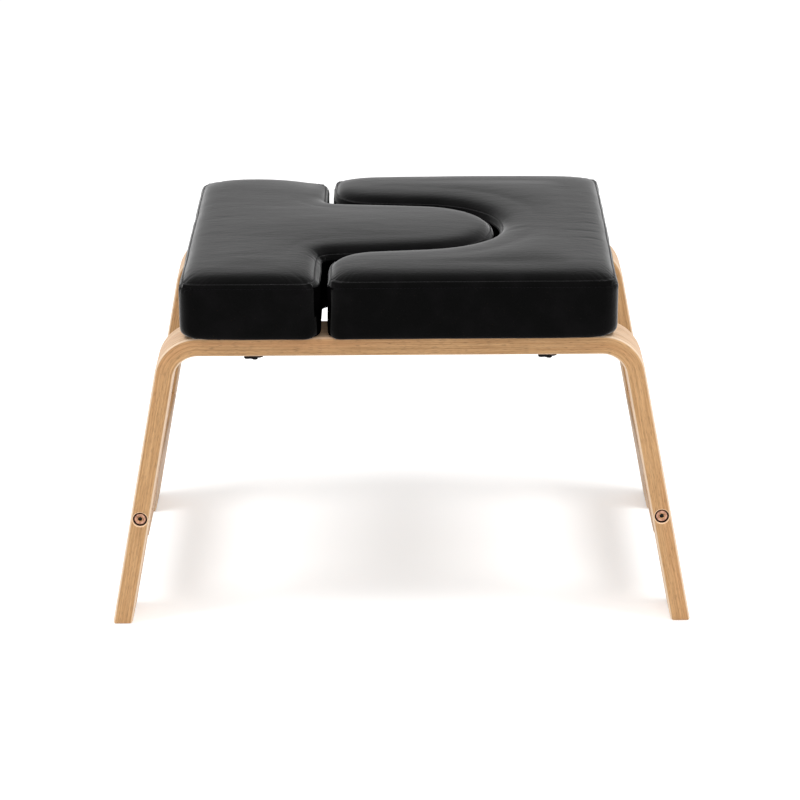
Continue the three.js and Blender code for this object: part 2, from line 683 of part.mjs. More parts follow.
// The thin cloth under the board, inside the cover's turned-under margin.
function padLining(outline, places) {
  const inset = COVER_MARGIN + SEAT_GAP;
  const top = BOARD_BOTTOM - SEAT_GAP;
  const cloth = layered(outline, [
    [inset, top - LINING_THICKNESS],
    [inset, top],
  ]);
  const tools = places.map(({ x, y }) =>
    rodAlongZ(STUD_HOLE_DIAMETER, 2 * CUT_OVERRUN, HOLE_SIDES).translate(x, y, top),
  );
  return cutFrom(cloth, tools);
}

// Standing along Z with its flange on the board and its barrel down in the board's hole.
function teeNut() {
  const bore = STUD_DIAMETER / 2 + BORE_CLEARANCE;
  const barrel = TEE_NUT_BARREL_DIAMETER / 2;
  const flange = TEE_NUT_FLANGE_DIAMETER / 2;
  return turned(
    [
      [bore, -TEE_NUT_BARREL_LENGTH],
      [barrel, -TEE_NUT_BARREL_LENGTH],
      [barrel, SEAT_GAP],
      [flange, SEAT_GAP],
      [flange, SEAT_GAP + TEE_NUT_FLANGE_THICKNESS],
      [bore, SEAT_GAP + TEE_NUT_FLANGE_THICKNESS],
      [bore, -TEE_NUT_BARREL_LENGTH],
    ],
    BOLT_SIDES,
  );
}

const knobPlace = (side, end) => ({ x: (side.sign * KNOB_SPACING) / 2, y: stripMiddleY(end) });
const PADS = [
  { name: "t_pad", outline: tPadOutline(), crown: T_CROWN, side: SIDES[0] },
  { name: "u_pad", outline: uPadOutline(), crown: U_CROWN, side: SIDES[1] },
];

for (const { name, outline, crown, side } of PADS) {
  const places = ENDS.map((end) => knobPlace(side, end));
  addPiece(stool, `${name}_cover`, padCover(outline, crown), LEATHER);
  addPiece(stool, `${name}_foam`, padFoam(outline, crown, places), FOAM);
  addPiece(stool, `${name}_board`, padBoard(outline, places), PLYWOOD);
  addPiece(stool, `${name}_lining`, padLining(outline, places), LINING);
}

// Screws under the bars

// The moulded head: a lobed grip with a round collar on top, hollow for the stud's end.
function knobGrip() {
  const steps = KNOB_LOBES * LOBE_STEPS;
  const ring = (shrink, height, round) =>
    Array.from({ length: steps }, (_, i) => {
      const angle = (i / steps) * 2 * Math.PI;
      const lobed = KNOB_DIAMETER / 2 - KNOB_LOBE_DEPTH * (1 - Math.cos(KNOB_LOBES * angle)) - shrink;
      const radius = round ? KNOB_COLLAR_DIAMETER / 2 : lobed;
      return new THREE.Vector3(radius * Math.cos(angle), radius * Math.sin(angle), height);
    });
  const grip = loft([
    ring(KNOB_EDGE_ROUND, 0, false),
    ring(0, KNOB_EDGE_ROUND, false),
    ring(0, KNOB_GRIP_HEIGHT - KNOB_EDGE_ROUND, false),
    ring(KNOB_EDGE_ROUND, KNOB_GRIP_HEIGHT, false),
    ring(0, KNOB_GRIP_HEIGHT, true),
    ring(0, KNOB_GRIP_HEIGHT + KNOB_COLLAR_HEIGHT, true),
  ]);
  const length = KNOB_GRIP_HEIGHT + KNOB_COLLAR_HEIGHT - KNOB_FLOOR;
  const hole = rodAlongZ(STUD_DIAMETER + 2 * BORE_CLEARANCE, 2 * length, HOLE_SIDES);
  return cutFrom(grip, [hole.translate(0, 0, KNOB_GRIP_HEIGHT + KNOB_COLLAR_HEIGHT)]);
}

function knobStud(length) {
  const radius = STUD_DIAMETER / 2;
  return turned(
    [
      [0, 0],
      [radius, 0],
      [radius, length - BOLT_END_BEVEL],
      [radius - BOLT_END_BEVEL, length],
      [0, length],
    ],
    BOLT_SIDES,
  );
}

function washer() {
  const bore = STUD_DIAMETER / 2 + BORE_CLEARANCE;
  const rim = WASHER_DIAMETER / 2;
  return turned(
    [
      [bore, 0],
      [rim, 0],
      [rim, WASHER_THICKNESS],
      [bore, WASHER_THICKNESS],
      [bore, 0],
    ],
    BOLT_SIDES,
  );
}

for (const { name, side, end } of CORNERS) {
  const { x, y } = knobPlace(side, end);
  const washerBottom = BAR_BOTTOM - SEAT_GAP - WASHER_THICKNESS;
  const gripBottom = washerBottom - SEAT_GAP - KNOB_COLLAR_HEIGHT - KNOB_GRIP_HEIGHT;
  const studBottom = gripBottom + KNOB_FLOOR + SEAT_GAP;
  const studLength = BOARD_TOP + STUD_PAST_BOARD - studBottom;
  addPiece(stool, `knob_${name}`, knobGrip(), PLASTIC).position.set(x, y, gripBottom);
  addPiece(stool, `knob_stud_${name}`, knobStud(studLength), BLACK_STEEL).position.set(x, y, studBottom);
  addPiece(stool, `washer_${name}`, washer(), BLACK_STEEL).position.set(x, y, washerBottom);
  addPiece(stool, `tee_nut_${name}`, teeNut(), STEEL).position.set(x, y, BOARD_TOP);
}

export default stool;
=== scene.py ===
import logging
import math
from dataclasses import dataclass, field
from enum import Enum
from typing import Any, Iterable, Sequence

import bpy
import numpy as np
from mathutils import Matrix, Vector, noise
from mathutils.geometry import delaunay_2d_cdt


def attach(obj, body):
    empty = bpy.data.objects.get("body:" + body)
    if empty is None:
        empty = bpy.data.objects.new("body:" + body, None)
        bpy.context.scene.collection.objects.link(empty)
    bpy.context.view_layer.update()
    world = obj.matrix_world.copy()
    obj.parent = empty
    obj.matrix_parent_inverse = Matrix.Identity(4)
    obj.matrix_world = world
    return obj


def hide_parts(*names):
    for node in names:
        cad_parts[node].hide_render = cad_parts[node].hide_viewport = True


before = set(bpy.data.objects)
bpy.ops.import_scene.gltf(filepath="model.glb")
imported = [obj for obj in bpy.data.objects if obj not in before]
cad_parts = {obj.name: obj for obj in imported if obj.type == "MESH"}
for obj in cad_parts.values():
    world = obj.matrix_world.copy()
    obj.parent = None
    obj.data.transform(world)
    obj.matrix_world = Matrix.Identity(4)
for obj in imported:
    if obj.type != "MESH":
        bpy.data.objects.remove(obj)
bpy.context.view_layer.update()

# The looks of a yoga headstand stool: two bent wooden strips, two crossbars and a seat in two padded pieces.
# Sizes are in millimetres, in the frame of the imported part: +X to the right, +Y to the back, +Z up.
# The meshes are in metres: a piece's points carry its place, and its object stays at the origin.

LOG = logging.getLogger("stool")
MM = 0.001

Points = np.ndarray
Profile = list[tuple[float, float]]


# Nodes


class Value:
    """A number socket of a node tree. Sums on it add Math nodes to the tree."""

    def __init__(self, nodes: "Nodes", socket: bpy.types.NodeSocket) -> None:
        """Keeps the socket.

        Args:
            nodes: the tree's node maker.
            socket: the output socket that carries the number.
        """
        self.nodes = nodes
        self.socket = socket

    def _math(self, operation: str, *values: Any) -> "Value":
        """Adds one Math node.

        Args:
            operation: the node's operation.
            values: its inputs in order, numbers or Values.

        Returns:
            The result.
        """
        node = self.nodes.add("ShaderNodeMath", {"operation": operation}, dict(enumerate(values)))
        return Value(self.nodes, node.outputs[0])

    def __add__(self, other: Any) -> "Value":
        """Adds."""
        return self._math("ADD", self, other)

    def __radd__(self, other: Any) -> "Value":
        """Adds, with the number first."""
        return self._math("ADD", other, self)

    def __sub__(self, other: Any) -> "Value":
        """Subtracts."""
        return self._math("SUBTRACT", self, other)

    def __rsub__(self, other: Any) -> "Value":
        """Subtracts this from a number."""
        return self._math("SUBTRACT", other, self)

    def __mul__(self, other: Any) -> "Value":
        """Multiplies."""
        return self._math("MULTIPLY", self, other)

    def __rmul__(self, other: Any) -> "Value":
        """Multiplies, with the number first."""
        return self._math("MULTIPLY", other, self)

    def __truediv__(self, other: Any) -> "Value":
        """Divides."""
        return self._math("DIVIDE", self, other)

    def __abs__(self) -> "Value":
        """Drops the sign."""
        return self._math("ABSOLUTE", self)

    def floor(self) -> "Value":
        """Rounds down."""
        return self._math("FLOOR", self)

    def fraction(self) -> "Value":
        """Keeps what is after the point."""
        return self._math("FRACT", self)

    def most(self, other: Any) -> "Value":
        """The larger of the two."""
        return self._math("MAXIMUM", self, other)

    def rise(self, low: float, high: float) -> "Value":
        """A smooth step.

        Args:
            low: where it is still 0.
            high: where it has reached 1. It may be less than low, for a fall.

        Returns:
            The step's height.
        """
        sockets = {"Value": self, "From Min": low, "From Max": high, "To Min": 0.0, "To Max": 1.0}
        node = self.nodes.add("ShaderNodeMapRange", {"interpolation_type": "SMOOTHSTEP"}, sockets)
        return Value(self.nodes, node.outputs["Result"])


class Nodes:
    """Makes the nodes of one tree."""

    def __init__(self, tree: bpy.types.NodeTree) -> None:
        """Takes an empty tree to fill."""
        self.tree = tree

    def add(
        self, kind: str, settings: dict[str, Any] | None = None, sockets: dict[Any, Any] | None = None
    ) -> Any:
        """Adds a node.

        Args:
            kind: the node's type.
            settings: its properties, set first. "stops" are a ramp's places and colours.
            sockets: numbers, colours, links or Values for its inputs, by name or by index.

        Returns:
            The node.
        """
        node = self.tree.nodes.new(kind)
        for name, value in (settings or {}).items():
            if name == "stops":
                self._set_stops(node.color_ramp, value)
            else:
                setattr(node, name, value)
        for key, value in (sockets or {}).items():
            socket = self._input(node, key)
            source = value.socket if isinstance(value, Value) else value
            if isinstance(source, bpy.types.NodeSocket):
                self.tree.links.new(source, socket)
            else:
                socket.default_value = source
        return node

    @staticmethod
    def _set_stops(ramp: bpy.types.ColorRamp, stops: Sequence[tuple[float, tuple[float, ...]]]) -> None:
        """Gives a ramp its stops."""
        while len(ramp.elements) < len(stops):
            ramp.elements.new(1.0)
        for element, (place, colour) in zip(ramp.elements, stops):
            element.position = place
            element.color = (*colour[:3], 1.0)

    @staticmethod
    def _input(node: bpy.types.Node, key: Any) -> bpy.types.NodeSocket:
        """The node's input by index, or the first one in use by name."""
        if isinstance(key, int):
            return node.inputs[key]
        return next(s for s in node.inputs if s.name == key and s.enabled)

    def number(self, socket: bpy.types.NodeSocket) -> Value:
        """An output socket as a number to reckon with."""
        return Value(self, socket)

    def split(self, vector: bpy.types.NodeSocket) -> tuple[Value, Value, Value]:
        """The three parts of a vector."""
        node = self.add("ShaderNodeSeparateXYZ", sockets={0: vector})
        return tuple(Value(self, s) for s in node.outputs)

    def join(self, x: Any, y: Any, z: Any) -> bpy.types.NodeSocket:
        """A vector from three numbers."""
        return self.add("ShaderNodeCombineXYZ", sockets={0: x, 1: y, 2: z}).outputs[0]

    def object_place(self) -> bpy.types.NodeSocket:
        """The point's place in the part's frame, in metres."""
        return self.add("ShaderNodeTexCoord").outputs["Object"]

    def noise(self, vector: Any, scale: float, detail: float = 3.0, roughness: float = 0.55) -> Value:
        """A soft noise.

        Args:
            vector: the place.
            scale: how many lumps to a metre.
            detail: how many finer octaves.
            roughness: how strong these are.

        Returns:
            A number about 0.5.
        """
        sockets = {"Vector": vector, "Scale": scale, "Detail": detail, "Roughness": roughness}
        return Value(self, self.add("ShaderNodeTexNoise", sockets=sockets).outputs[0])

    def grain(
        self, parts: Sequence[Value], scales: Sequence[float], detail: float, shift: float = 0.0
    ) -> Value:
        """A noise with a scale of its own along each axis.

        Args:
            parts: the place's three parts.
            scales: how many lumps to a metre along each.
            detail: how many finer octaves.
            shift: how far it is moved along the first axis, in lumps.

        Returns:
            A number about 0.5.
        """
        x, y, z = (part * scale for part, scale in zip(parts, scales))
        return self.noise(self.join(x + shift, y, z), 1.0, detail)

    def cells(self, vector: Any, scale: float, feature: str = "F1") -> Value:
        """The distance to the middle or the edge of irregular cells.

        Args:
            vector: the place.
            scale: how many cells to a metre.
            feature: what is measured.

        Returns:
            The distance, as a share of a cell.
        """
        sockets = {"Vector": vector, "Scale": scale}
        node = self.add("ShaderNodeTexVoronoi", {"feature": feature}, sockets)
        return Value(self, node.outputs["Distance"])

    def blend(self, share: Any, first: Any, second: Any) -> bpy.types.NodeSocket:
        """Mixes two colours.

        Args:
            share: how much of the second.
            first: a colour or its link.
            second: a colour or its link.

        Returns:
            The mixed colour.
        """
        sockets = {"Factor": share, "A": first, "B": second}
        return self.add("ShaderNodeMix", {"data_type": "RGBA"}, sockets).outputs[2]

    def shade(self, colour: Any, factor: Value) -> bpy.types.NodeSocket:
        """A colour made lighter or darker by a number about 1."""
        grey = self.add("ShaderNodeCombineColor", sockets={0: factor, 1: factor, 2: factor})
        sockets = {"Factor": 1.0, "A": colour, "B": grey.outputs[0]}
        settings = {"data_type": "RGBA", "blend_type": "MULTIPLY"}
        return self.add("ShaderNodeMix", settings, sockets).outputs[2]

    def bump(self, height: Value, strength: float, depth: float) -> bpy.types.NodeSocket:
        """A bumpy normal.

        Args:
            height: the height over the surface, about 0 to 1.
            strength: how much of it shows.
            depth: how deep a height of 1 is, in millimetres.

        Returns:
            The normal.
        """
        sockets = {"Height": height, "Strength": strength, "Distance": depth * MM}
        return self.add("ShaderNodeBump", sockets=sockets).outputs[0]


def cleared(owner: Any) -> Nodes:
    """The emptied node tree of a material or a world."""
    owner.use_nodes = True
    owner.node_tree.nodes.clear()
    return Nodes(owner.node_tree)


def linear(red: int, green: int, blue: int) -> tuple[float, float, float, float]:
    """A colour as a screen shows it, 0 to 255, in the units of a shader."""
    def one(value: int) -> float:
        """One channel."""
        share = value / 255
        return share / 12.92 if share <= 0.04045 else ((share + 0.055) / 1.055) ** 2.4

    return (one(red), one(green), one(blue), 1.0)


# Finishes


@dataclass(frozen=True)
class Finish:
    """A finish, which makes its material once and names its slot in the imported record."""

    name: str
    slot: str

    def material(self) -> bpy.types.Material:
        """The finish's material, made when it is first asked for."""
        made = bpy.data.materials.get(self.name)
        if made is not None:
            return made
        made = bpy.data.materials.new(self.name)
        nodes = cleared(made)
        surface = nodes.add("ShaderNodeBsdfPrincipled", sockets=self.sockets(nodes))
        nodes.add("ShaderNodeOutputMaterial", sockets={"Surface": surface.outputs[0]})
        return made

    def sockets(self, nodes: Nodes) -> dict[str, Any]:
        """What goes into the shader's sockets."""
        raise NotImplementedError


@dataclass(frozen=True)
class Leather(Finish):
    """Black imitation leather with a fine pebbled grain and a soft sheen at a low angle."""

    name: str = "black_leather"
    slot: str = "cover_leather"
    sheen: float = 0.65
    shine: float = 0.02
    grain_cells: float = 620.0
    fine_grain: float = 1700.0
    grain_depth: float = 0.32

    def sockets(self, nodes: Nodes) -> dict[str, Any]:
        """Grain, creases that take the light, and faint worn patches."""
        place = nodes.object_place()
        warp = nodes.noise(place, 210.0, 2.0)
        cells = nodes.cells(place, self.grain_cells, "SMOOTH_F1")
        fine = nodes.noise(place, self.fine_grain, 2.0)
        broad = nodes.noise(place, 7.0, 2.0)
        patches = nodes.noise(place, 38.0, 3.0)
        pulled = nodes.grain(nodes.split(place), (55.0, 260.0, 260.0), 3.0)
        height = cells * 0.7 + fine * 0.3 + warp * 0.3 + pulled * 0.9
        black = linear(1, 1, 1)
        worn = linear(8, 7, 8)
        colour = nodes.blend((patches * 0.6 + fine * 0.4).rise(0.42, 0.7), black, worn)
        return {
            "Base Color": colour,
            "Roughness": 0.36 + broad * 0.14 + fine * 0.12 + cells * 0.06,
            "Specular IOR Level": self.shine,
            "Sheen Weight": self.sheen,
            "Sheen Roughness": 0.35,
            "Normal": nodes.bump(height, 0.6, self.grain_depth),
        }


class Cut(Enum):
    """How a wooden piece is made up."""

    LAMINATED = "laminated"
    SOLID = "solid"


@dataclass(frozen=True)
class Beech(Finish):
    """Lacquered beech whose grain follows the attribute that says where a point lies in the board."""

    name: str = "bent_beech"
    slot: str = "frame_wood"
    cut: Cut = Cut.LAMINATED
    thickness: float = 19.6
    width: float = 56.0
    plies: int = 12
    glue_line: float = 0.1
    pad_shade_end: float = 235.0
    seed: float = 0.0
    attribute: str = "board_place"

    def sockets(self, nodes: Nodes) -> dict[str, Any]:
        """Streaks along the board, flecks on its faces, plies on its edges, a painted highlight on the
        arrises and a painted shade under the pads.
        """
        place = nodes.add("ShaderNodeAttribute", {"attribute_name": self.attribute})
        parts = along, through, across = nodes.split(place.outputs["Vector"])
        streaks = nodes.grain(parts, (16.0, 620.0, 320.0), 4.0, self.seed)
        fine = nodes.grain(parts, (60.0, 1500.0, 1100.0), 3.0, self.seed)
        specks = nodes.join(along * 130.0, through * 1300.0, across * 1500.0 + self.seed)
        flecks = nodes.noise(specks, 1.0, 1.0)
        broad = nodes.grain(parts, (4.0, 60.0, 30.0), 2.0, self.seed)
        half_width = self.width * MM / 2
        half_thick = self.thickness * MM / 2
        from_side = half_width - abs(across)
        from_face = half_thick - abs(through)
        edge_face = from_side.rise(1.3 * MM, 0.5 * MM)
        arris_highlight = from_side.rise(2.2 * MM, 1.0 * MM) * from_face.rise(2.2 * MM, 1.0 * MM)
        # The wide faces are paler than the ply edges, partly as a painted sheen of the lacquer.
        face = nodes.blend(streaks.rise(0.3, 0.72), linear(232, 200, 168), linear(212, 172, 132))
        edge = nodes.blend(streaks.rise(0.34, 0.66), linear(208, 164, 116), linear(184, 140, 94))
        if self.cut is Cut.LAMINATED:
            ply = (through + half_thick) / (self.thickness / self.plies * MM)
            tone = nodes.add("ShaderNodeTexWhiteNoise", {"noise_dimensions": "1D"}, {"W": ply.floor()})
            seam = abs(ply.fraction() - 0.5).rise(0.5 - self.glue_line, 0.5)
            edge = nodes.shade(edge, 0.96 + nodes.number(tone.outputs[0]) * 0.08 - seam * 0.14)
        colour = nodes.blend(edge_face, face, edge)
        colour = nodes.blend(broad.rise(0.5, 0.75) * 0.22, colour, linear(196, 130, 84))
        dark = flecks.rise(0.54, 0.68) * 0.26 + fine.rise(0.5, 0.8) * 0.2
        # Painted shade under the pads: darker towards the bar's middle, where the arrises' painted highlight
        # is weaker too; the crossbars, whose places along stay short, get it all over.
        pad_shade = abs(along).rise(self.pad_shade_end * MM, (self.pad_shade_end - 60.0) * MM)
        colour = nodes.shade(colour, 1.04 - dark - pad_shade * 0.13)
        # Pale painted highlight on the arrises.
        colour = nodes.blend(arris_highlight * (0.75 - pad_shade * 0.5), colour, linear(246, 224, 198))
        height = fine * 0.5 + streaks * 0.3 - flecks.rise(0.6, 0.75) * 0.5
        return {
            "Base Color": colour,
            "Roughness": 0.46 + fine * 0.14 + broad * 0.06,
            "Specular IOR Level": 0.24,
            "Coat Weight": 0.06,
            "Coat Roughness": 0.28,
            "Normal": nodes.bump(height, 0.3, 0.06),
        }


@dataclass(frozen=True)
class RawWood(Finish):
    """Unlacquered wood on plain coordinates, for dowels and for the boards' plies."""

    name: str = "dowel_wood"
    slot: str = "dowel_wood"
    light: tuple[int, int, int] = (224, 190, 146)
    dark: tuple[int, int, int] = (186, 144, 100)
    streaks: tuple[float, float, float] = (900.0, 30.0, 900.0)
    ply: float = 0.0

    def sockets(self, nodes: Nodes) -> dict[str, Any]:
        """Streaks, and plies where the piece has them."""
        parts = nodes.split(nodes.object_place())
        grain = nodes.grain(parts, self.streaks, 4.0)
        finer = [scale * times for scale, times in zip(self.streaks, (2.0, 6.0, 2.0))]
        pores = nodes.grain(parts, finer, 2.0)
        share = grain.rise(0.3, 0.7)
        if self.ply:
            layer = (parts[2] / (self.ply * MM)).floor()
            share = share * 0.5 + (layer * 0.5).fraction()
        colour = nodes.blend(share, linear(*self.light), linear(*self.dark))
        return {
            "Base Color": nodes.shade(colour, 1.05 - pores.rise(0.5, 0.8) * 0.25),
            "Roughness": 0.62 + grain * 0.2,
            "Normal": nodes.bump(grain + pores, 0.4, 0.08),
        }


@dataclass(frozen=True)
class Metal(Finish):
    """A plated or blackened metal, slightly mottled and scratched."""

    name: str = "copper_plate"
    slot: str = "copper_bolt"
    light: tuple[int, int, int] = (186, 142, 120)
    dark: tuple[int, int, int] = (140, 100, 82)
    roughness: float = 0.26
    metallic: float = 1.0
    mottle: float = 420.0

    def sockets(self, nodes: Nodes) -> dict[str, Any]:
        """Mottled colour and roughness with fine scratches."""
        place = nodes.object_place()
        patches = nodes.noise(place, self.mottle, 3.0)
        scratches = nodes.grain(nodes.split(place), (900.0, 900.0, 9000.0), 2.0)
        colour = nodes.blend(patches.rise(0.35, 0.7), linear(*self.light), linear(*self.dark))
        return {
            "Base Color": colour,
            "Metallic": self.metallic,
            "Roughness": self.roughness - 0.05 + patches * 0.16 + scratches * 0.06,
            "Normal": nodes.bump(patches * 0.6 + scratches * 0.4, 0.2, 0.03),
        }


@dataclass(frozen=True)
class Moulding(Finish):
    """Matt black moulded plastic with a fine spark-eroded texture."""

    name: str = "moulded_black"
    slot: str = "knob_plastic"
    colour: tuple[int, int, int] = (9, 9, 10)

    def sockets(self, nodes: Nodes) -> dict[str, Any]:
        """A fine even texture with slight scuffs."""
        place = nodes.object_place()
        texture = nodes.noise(place, 5200.0, 2.0)
        scuffs = nodes.noise(place, 160.0, 4.0)
        scuffed = tuple(c + 16 for c in self.colour)
        colour = nodes.blend(scuffs.rise(0.55, 0.8), linear(*self.colour), linear(*scuffed))
        return {
            "Base Color": colour,
            "Roughness": 0.42 + texture * 0.2 + scuffs * 0.08,
            "Specular IOR Level": 0.12,
            "Normal": nodes.bump(texture, 0.35, 0.04),
        }


@dataclass(frozen=True)
class Cloth(Finish):
    """Thin black non-woven cloth with its pattern of bonded dots."""

    name: str = "lining_cloth"
    slot: str = "lining_cloth"
    dot_pitch: float = 1.1

    def sockets(self, nodes: Nodes) -> dict[str, Any]:
        """Bonded dots in rows over matted fibres."""
        x, y, _ = nodes.split(nodes.object_place())
        across = abs((x / (self.dot_pitch * MM)).fraction() - 0.5)
        down = abs((y / (self.dot_pitch * MM)).fraction() - 0.5)
        dots = across.most(down).rise(0.32, 0.22)
        fibres = nodes.noise(nodes.join(x * 900.0, y * 2600.0, 0.0), 1.0, 4.0)
        colour = nodes.blend(dots * 0.6 + fibres * 0.4, linear(34, 34, 36), linear(16, 16, 18))
        return {
            "Base Color": colour,
            "Roughness": 0.8 + fibres * 0.15,
            "Specular IOR Level": 0.2,
            "Normal": nodes.bump(fibres * 0.5 - dots, 0.6, 0.15),
        }


@dataclass(frozen=True)
class Foam(Finish):
    """Cream open foam."""

    name: str = "cream_foam"
    slot: str = "pad_foam"
    pores: float = 620.0

    def sockets(self, nodes: Nodes) -> dict[str, Any]:
        """Small pores of two sizes, whose dark insides are a painted shade."""
        place = nodes.object_place()
        small = nodes.cells(place, self.pores)
        large = nodes.cells(place, self.pores * 0.37)
        depth = small.rise(0.5, 0.15) * 0.6 + large.rise(0.3, 0.1) * 0.4
        return {
            # The pores' insides are darkened as a painted shade.
            "Base Color": nodes.blend(depth, linear(226, 218, 190), linear(172, 160, 126)),
            "Roughness": 0.9 + small * 0.08,
            "Normal": nodes.bump(1.0 - depth, 0.8, 0.5),
        }


@dataclass(frozen=True)
class Thread(Finish):
    """Waxed black sewing thread with the twist of its strands."""

    name: str = "black_thread"
    slot: str = "cover_leather"

    def sockets(self, nodes: Nodes) -> dict[str, Any]:
        """Twisted strands."""
        x, y, z = nodes.split(nodes.object_place())
        twist = abs(((x + y + z * 1.7) * 1900.0).fraction() - 0.5)
        return {
            "Base Color": nodes.blend(twist.rise(0.1, 0.5), linear(24, 23, 25), linear(10, 9, 11)),
            "Roughness": 0.6 + twist * 0.3,
            "Specular IOR Level": 0.04,
            "Normal": nodes.bump(twist, 0.5, 0.08),
        }


LEATHER = Leather()
# Leather without sheen or shine, a painted shade for the walls between the pads.
GAP_SHADE_LEATHER = Leather(name="dull_leather", sheen=0.0, shine=0.0)
# Dark wood painted on the walls of the bolts' holes as shade.
BORE_PAINTED_SHADE = RawWood("bore_wood", "frame_wood", (66, 36, 22), (36, 18, 11), (900.0, 900.0, 60.0))
# Pale wood painted on the bevels round the bolts' holes as a highlight.
RIM_PAINTED_HIGHLIGHT = RawWood("rim_wood", "frame_wood", (240, 206, 170), (224, 184, 144), (900.0, 900.0, 60.0))
# A dark, non-metallic copy painted in the bolts' hexagon sockets as shade.
SOCKET_PAINTED_SHADE = Metal("socket_black", "copper_bolt", (22, 15, 12), (8, 6, 5), 0.6, 0.0)
WORN_COPPER = Metal("worn_copper", "copper_bolt", (190, 148, 110), (160, 118, 84), 0.3)
THREAD = Thread()
BENT_BEECH = Beech()
CROSSBAR_BEECH = Beech(name="crossbar_beech", cut=Cut.SOLID, thickness=21.0, width=70.0, seed=3.7)
DOWEL_WOOD = RawWood()
PLYWOOD = RawWood(
    name="raw_plywood", slot="board_plywood", light=(206, 172, 130), dark=(160, 122, 84),
    streaks=(40.0, 700.0, 700.0), ply=1.5,
)
COPPER = Metal()
ZINC = Metal(name="zinc_plate", slot="zinc_steel", light=(196, 198, 202), dark=(142, 144, 150), roughness=0.3)
BLACK_STEEL = Metal(
    name="blackened_steel", slot="black_steel", light=(52, 52, 55), dark=(26, 26, 29), roughness=0.42
)
STAPLE_STEEL = Metal(
    name="staple_steel", slot="zinc_steel", light=(204, 204, 206), dark=(158, 158, 162), roughness=0.24
)
PLASTIC = Moulding()
LINING = Cloth()
FOAM = Foam()


# Meshes


@dataclass
class Mesh:
    """Points and faces that are gathered for one piece, in millimetres."""

    points: list[Points] = field(default_factory=list)
    faces: list[tuple[int, ...]] = field(default_factory=list)
    count: int = 0

    def add_points(self, points: Points) -> np.ndarray:
        """Adds points.

        Args:
            points: an array of places.

        Returns:
            Their numbers.
        """
        self.points.append(np.asarray(points, float))
        start = self.count
        self.count += len(points)
        return np.arange(start, self.count)

    def bridge(self, upper: np.ndarray, lower: np.ndarray) -> None:
        """Joins two rings that run anticlockwise seen from the side of the upper one."""
        after_upper, after_lower = np.roll(upper, -1), np.roll(lower, -1)
        self.faces.extend(zip(lower.tolist(), after_lower.tolist(), after_upper.tolist(), upper.tolist()))

    def loft(self, rings: Iterable[Points], closed: bool = False) -> list[np.ndarray]:
        """Joins rings of as many points each, one after the other.

        Args:
            rings: the rings, from the top down the outside.
            closed: whether the last ring joins the first, as on a tube bent round.

        Returns:
            The numbers of each ring's points.
        """
        numbers = [self.add_points(ring) for ring in rings]
        for upper, lower in zip(numbers, numbers[1:]):
            self.bridge(upper, lower)
        if closed:
            self.bridge(numbers[-1], numbers[0])
        return numbers

    def cap(self, ring: np.ndarray, up: bool) -> None:
        """Closes a ring with one face."""
        face = tuple(int(i) for i in ring)
        self.faces.append(face if up else face[::-1])

    def solid(self, rings: Iterable[Points]) -> None:
        """Joins rings and closes both ends, of which the first one faces up."""
        numbers = self.loft(rings)
        self.cap(numbers[0], up=True)
        self.cap(numbers[-1], up=False)

    def finished(self, name: str, finish: Finish, sharp: float = 35.0) -> bpy.types.Object:
        """Makes the object.

        Args:
            name: the piece's name.
            finish: its finish.
            sharp: the angle in degrees from which an edge shows as sharp.

        Returns:
            The object, in metres, at the origin.
        """
        mesh = bpy.data.meshes.new(name)
        mesh.from_pydata((np.concatenate(self.points) * MM).tolist(), [], self.faces)
        mesh.update()
        if enclosed(mesh) < 0:
            mesh.flip_normals()
        piece = added(name, mesh)
        mesh.materials.append(finish.material())
        smooth(piece, sharp)
        return piece


def added(name: str, data: Any) -> bpy.types.Object:
    """A new object of the scene that shows a mesh, a lamp or a camera."""
    made = bpy.data.objects.new(name, data)
    bpy.context.scene.collection.objects.link(made)
    return made


def enclosed(mesh: bpy.types.Mesh) -> float:
    """The volume that a closed mesh's faces enclose, negative where they face inwards."""
    mesh.calc_loop_triangles()
    places = np.zeros(len(mesh.vertices) * 3, np.float32)
    mesh.vertices.foreach_get("co", places)
    corners = np.zeros(len(mesh.loop_triangles) * 3, np.int32)
    mesh.loop_triangles.foreach_get("vertices", corners)
    a, b, c = places.reshape(-1, 3)[corners].reshape(-1, 3, 3).transpose(1, 0, 2)
    return float((a * np.cross(b, c)).sum() / 6)


def smooth(piece: bpy.types.Object, sharp: float) -> None:
    """Shades a piece smooth, with sharp edges from an angle in degrees."""
    piece.data.shade_smooth()
    piece.data.set_sharp_from_angle(angle=math.radians(sharp))


def moved(points: Points, matrix: Matrix) -> Points:
    """Points turned and moved by a matrix in millimetres."""
    turn = np.array(matrix, float)
    return np.asarray(points, float) @ turn[:3, :3].T + turn[:3, 3]


def level(flat: Points, height: float) -> Points:
    """Points seen from above, as places at one height."""
    return np.column_stack([flat, np.full(len(flat), height)])


def around(sides: int) -> np.ndarray:
    """The angles of a circle's points."""
    return np.arange(sides) * 2 * math.pi / sides


def circle(sides: int) -> Points:
    """The points of a circle of radius 1."""
    return np.column_stack([np.cos(around(sides)), np.sin(around(sides))])


def turned(profile: Profile, sides: int, matrix: Matrix) -> Mesh:
    """A turned piece about Z.

    Args:
        profile: its radius and height from the top down the outside.
        sides: how many sides it has.
        matrix: where it stands, in millimetres.

    Returns:
        The mesh. Where the profile ends as it began, it is a ring with a bore.
    """
    mesh = Mesh()
    rings = [moved(level(circle(sides) * radius, height), matrix) for radius, height in profile]
    if profile[0] == profile[-1]:
        mesh.loft(rings[:-1], closed=True)
    else:
        mesh.solid(rings)
    return mesh


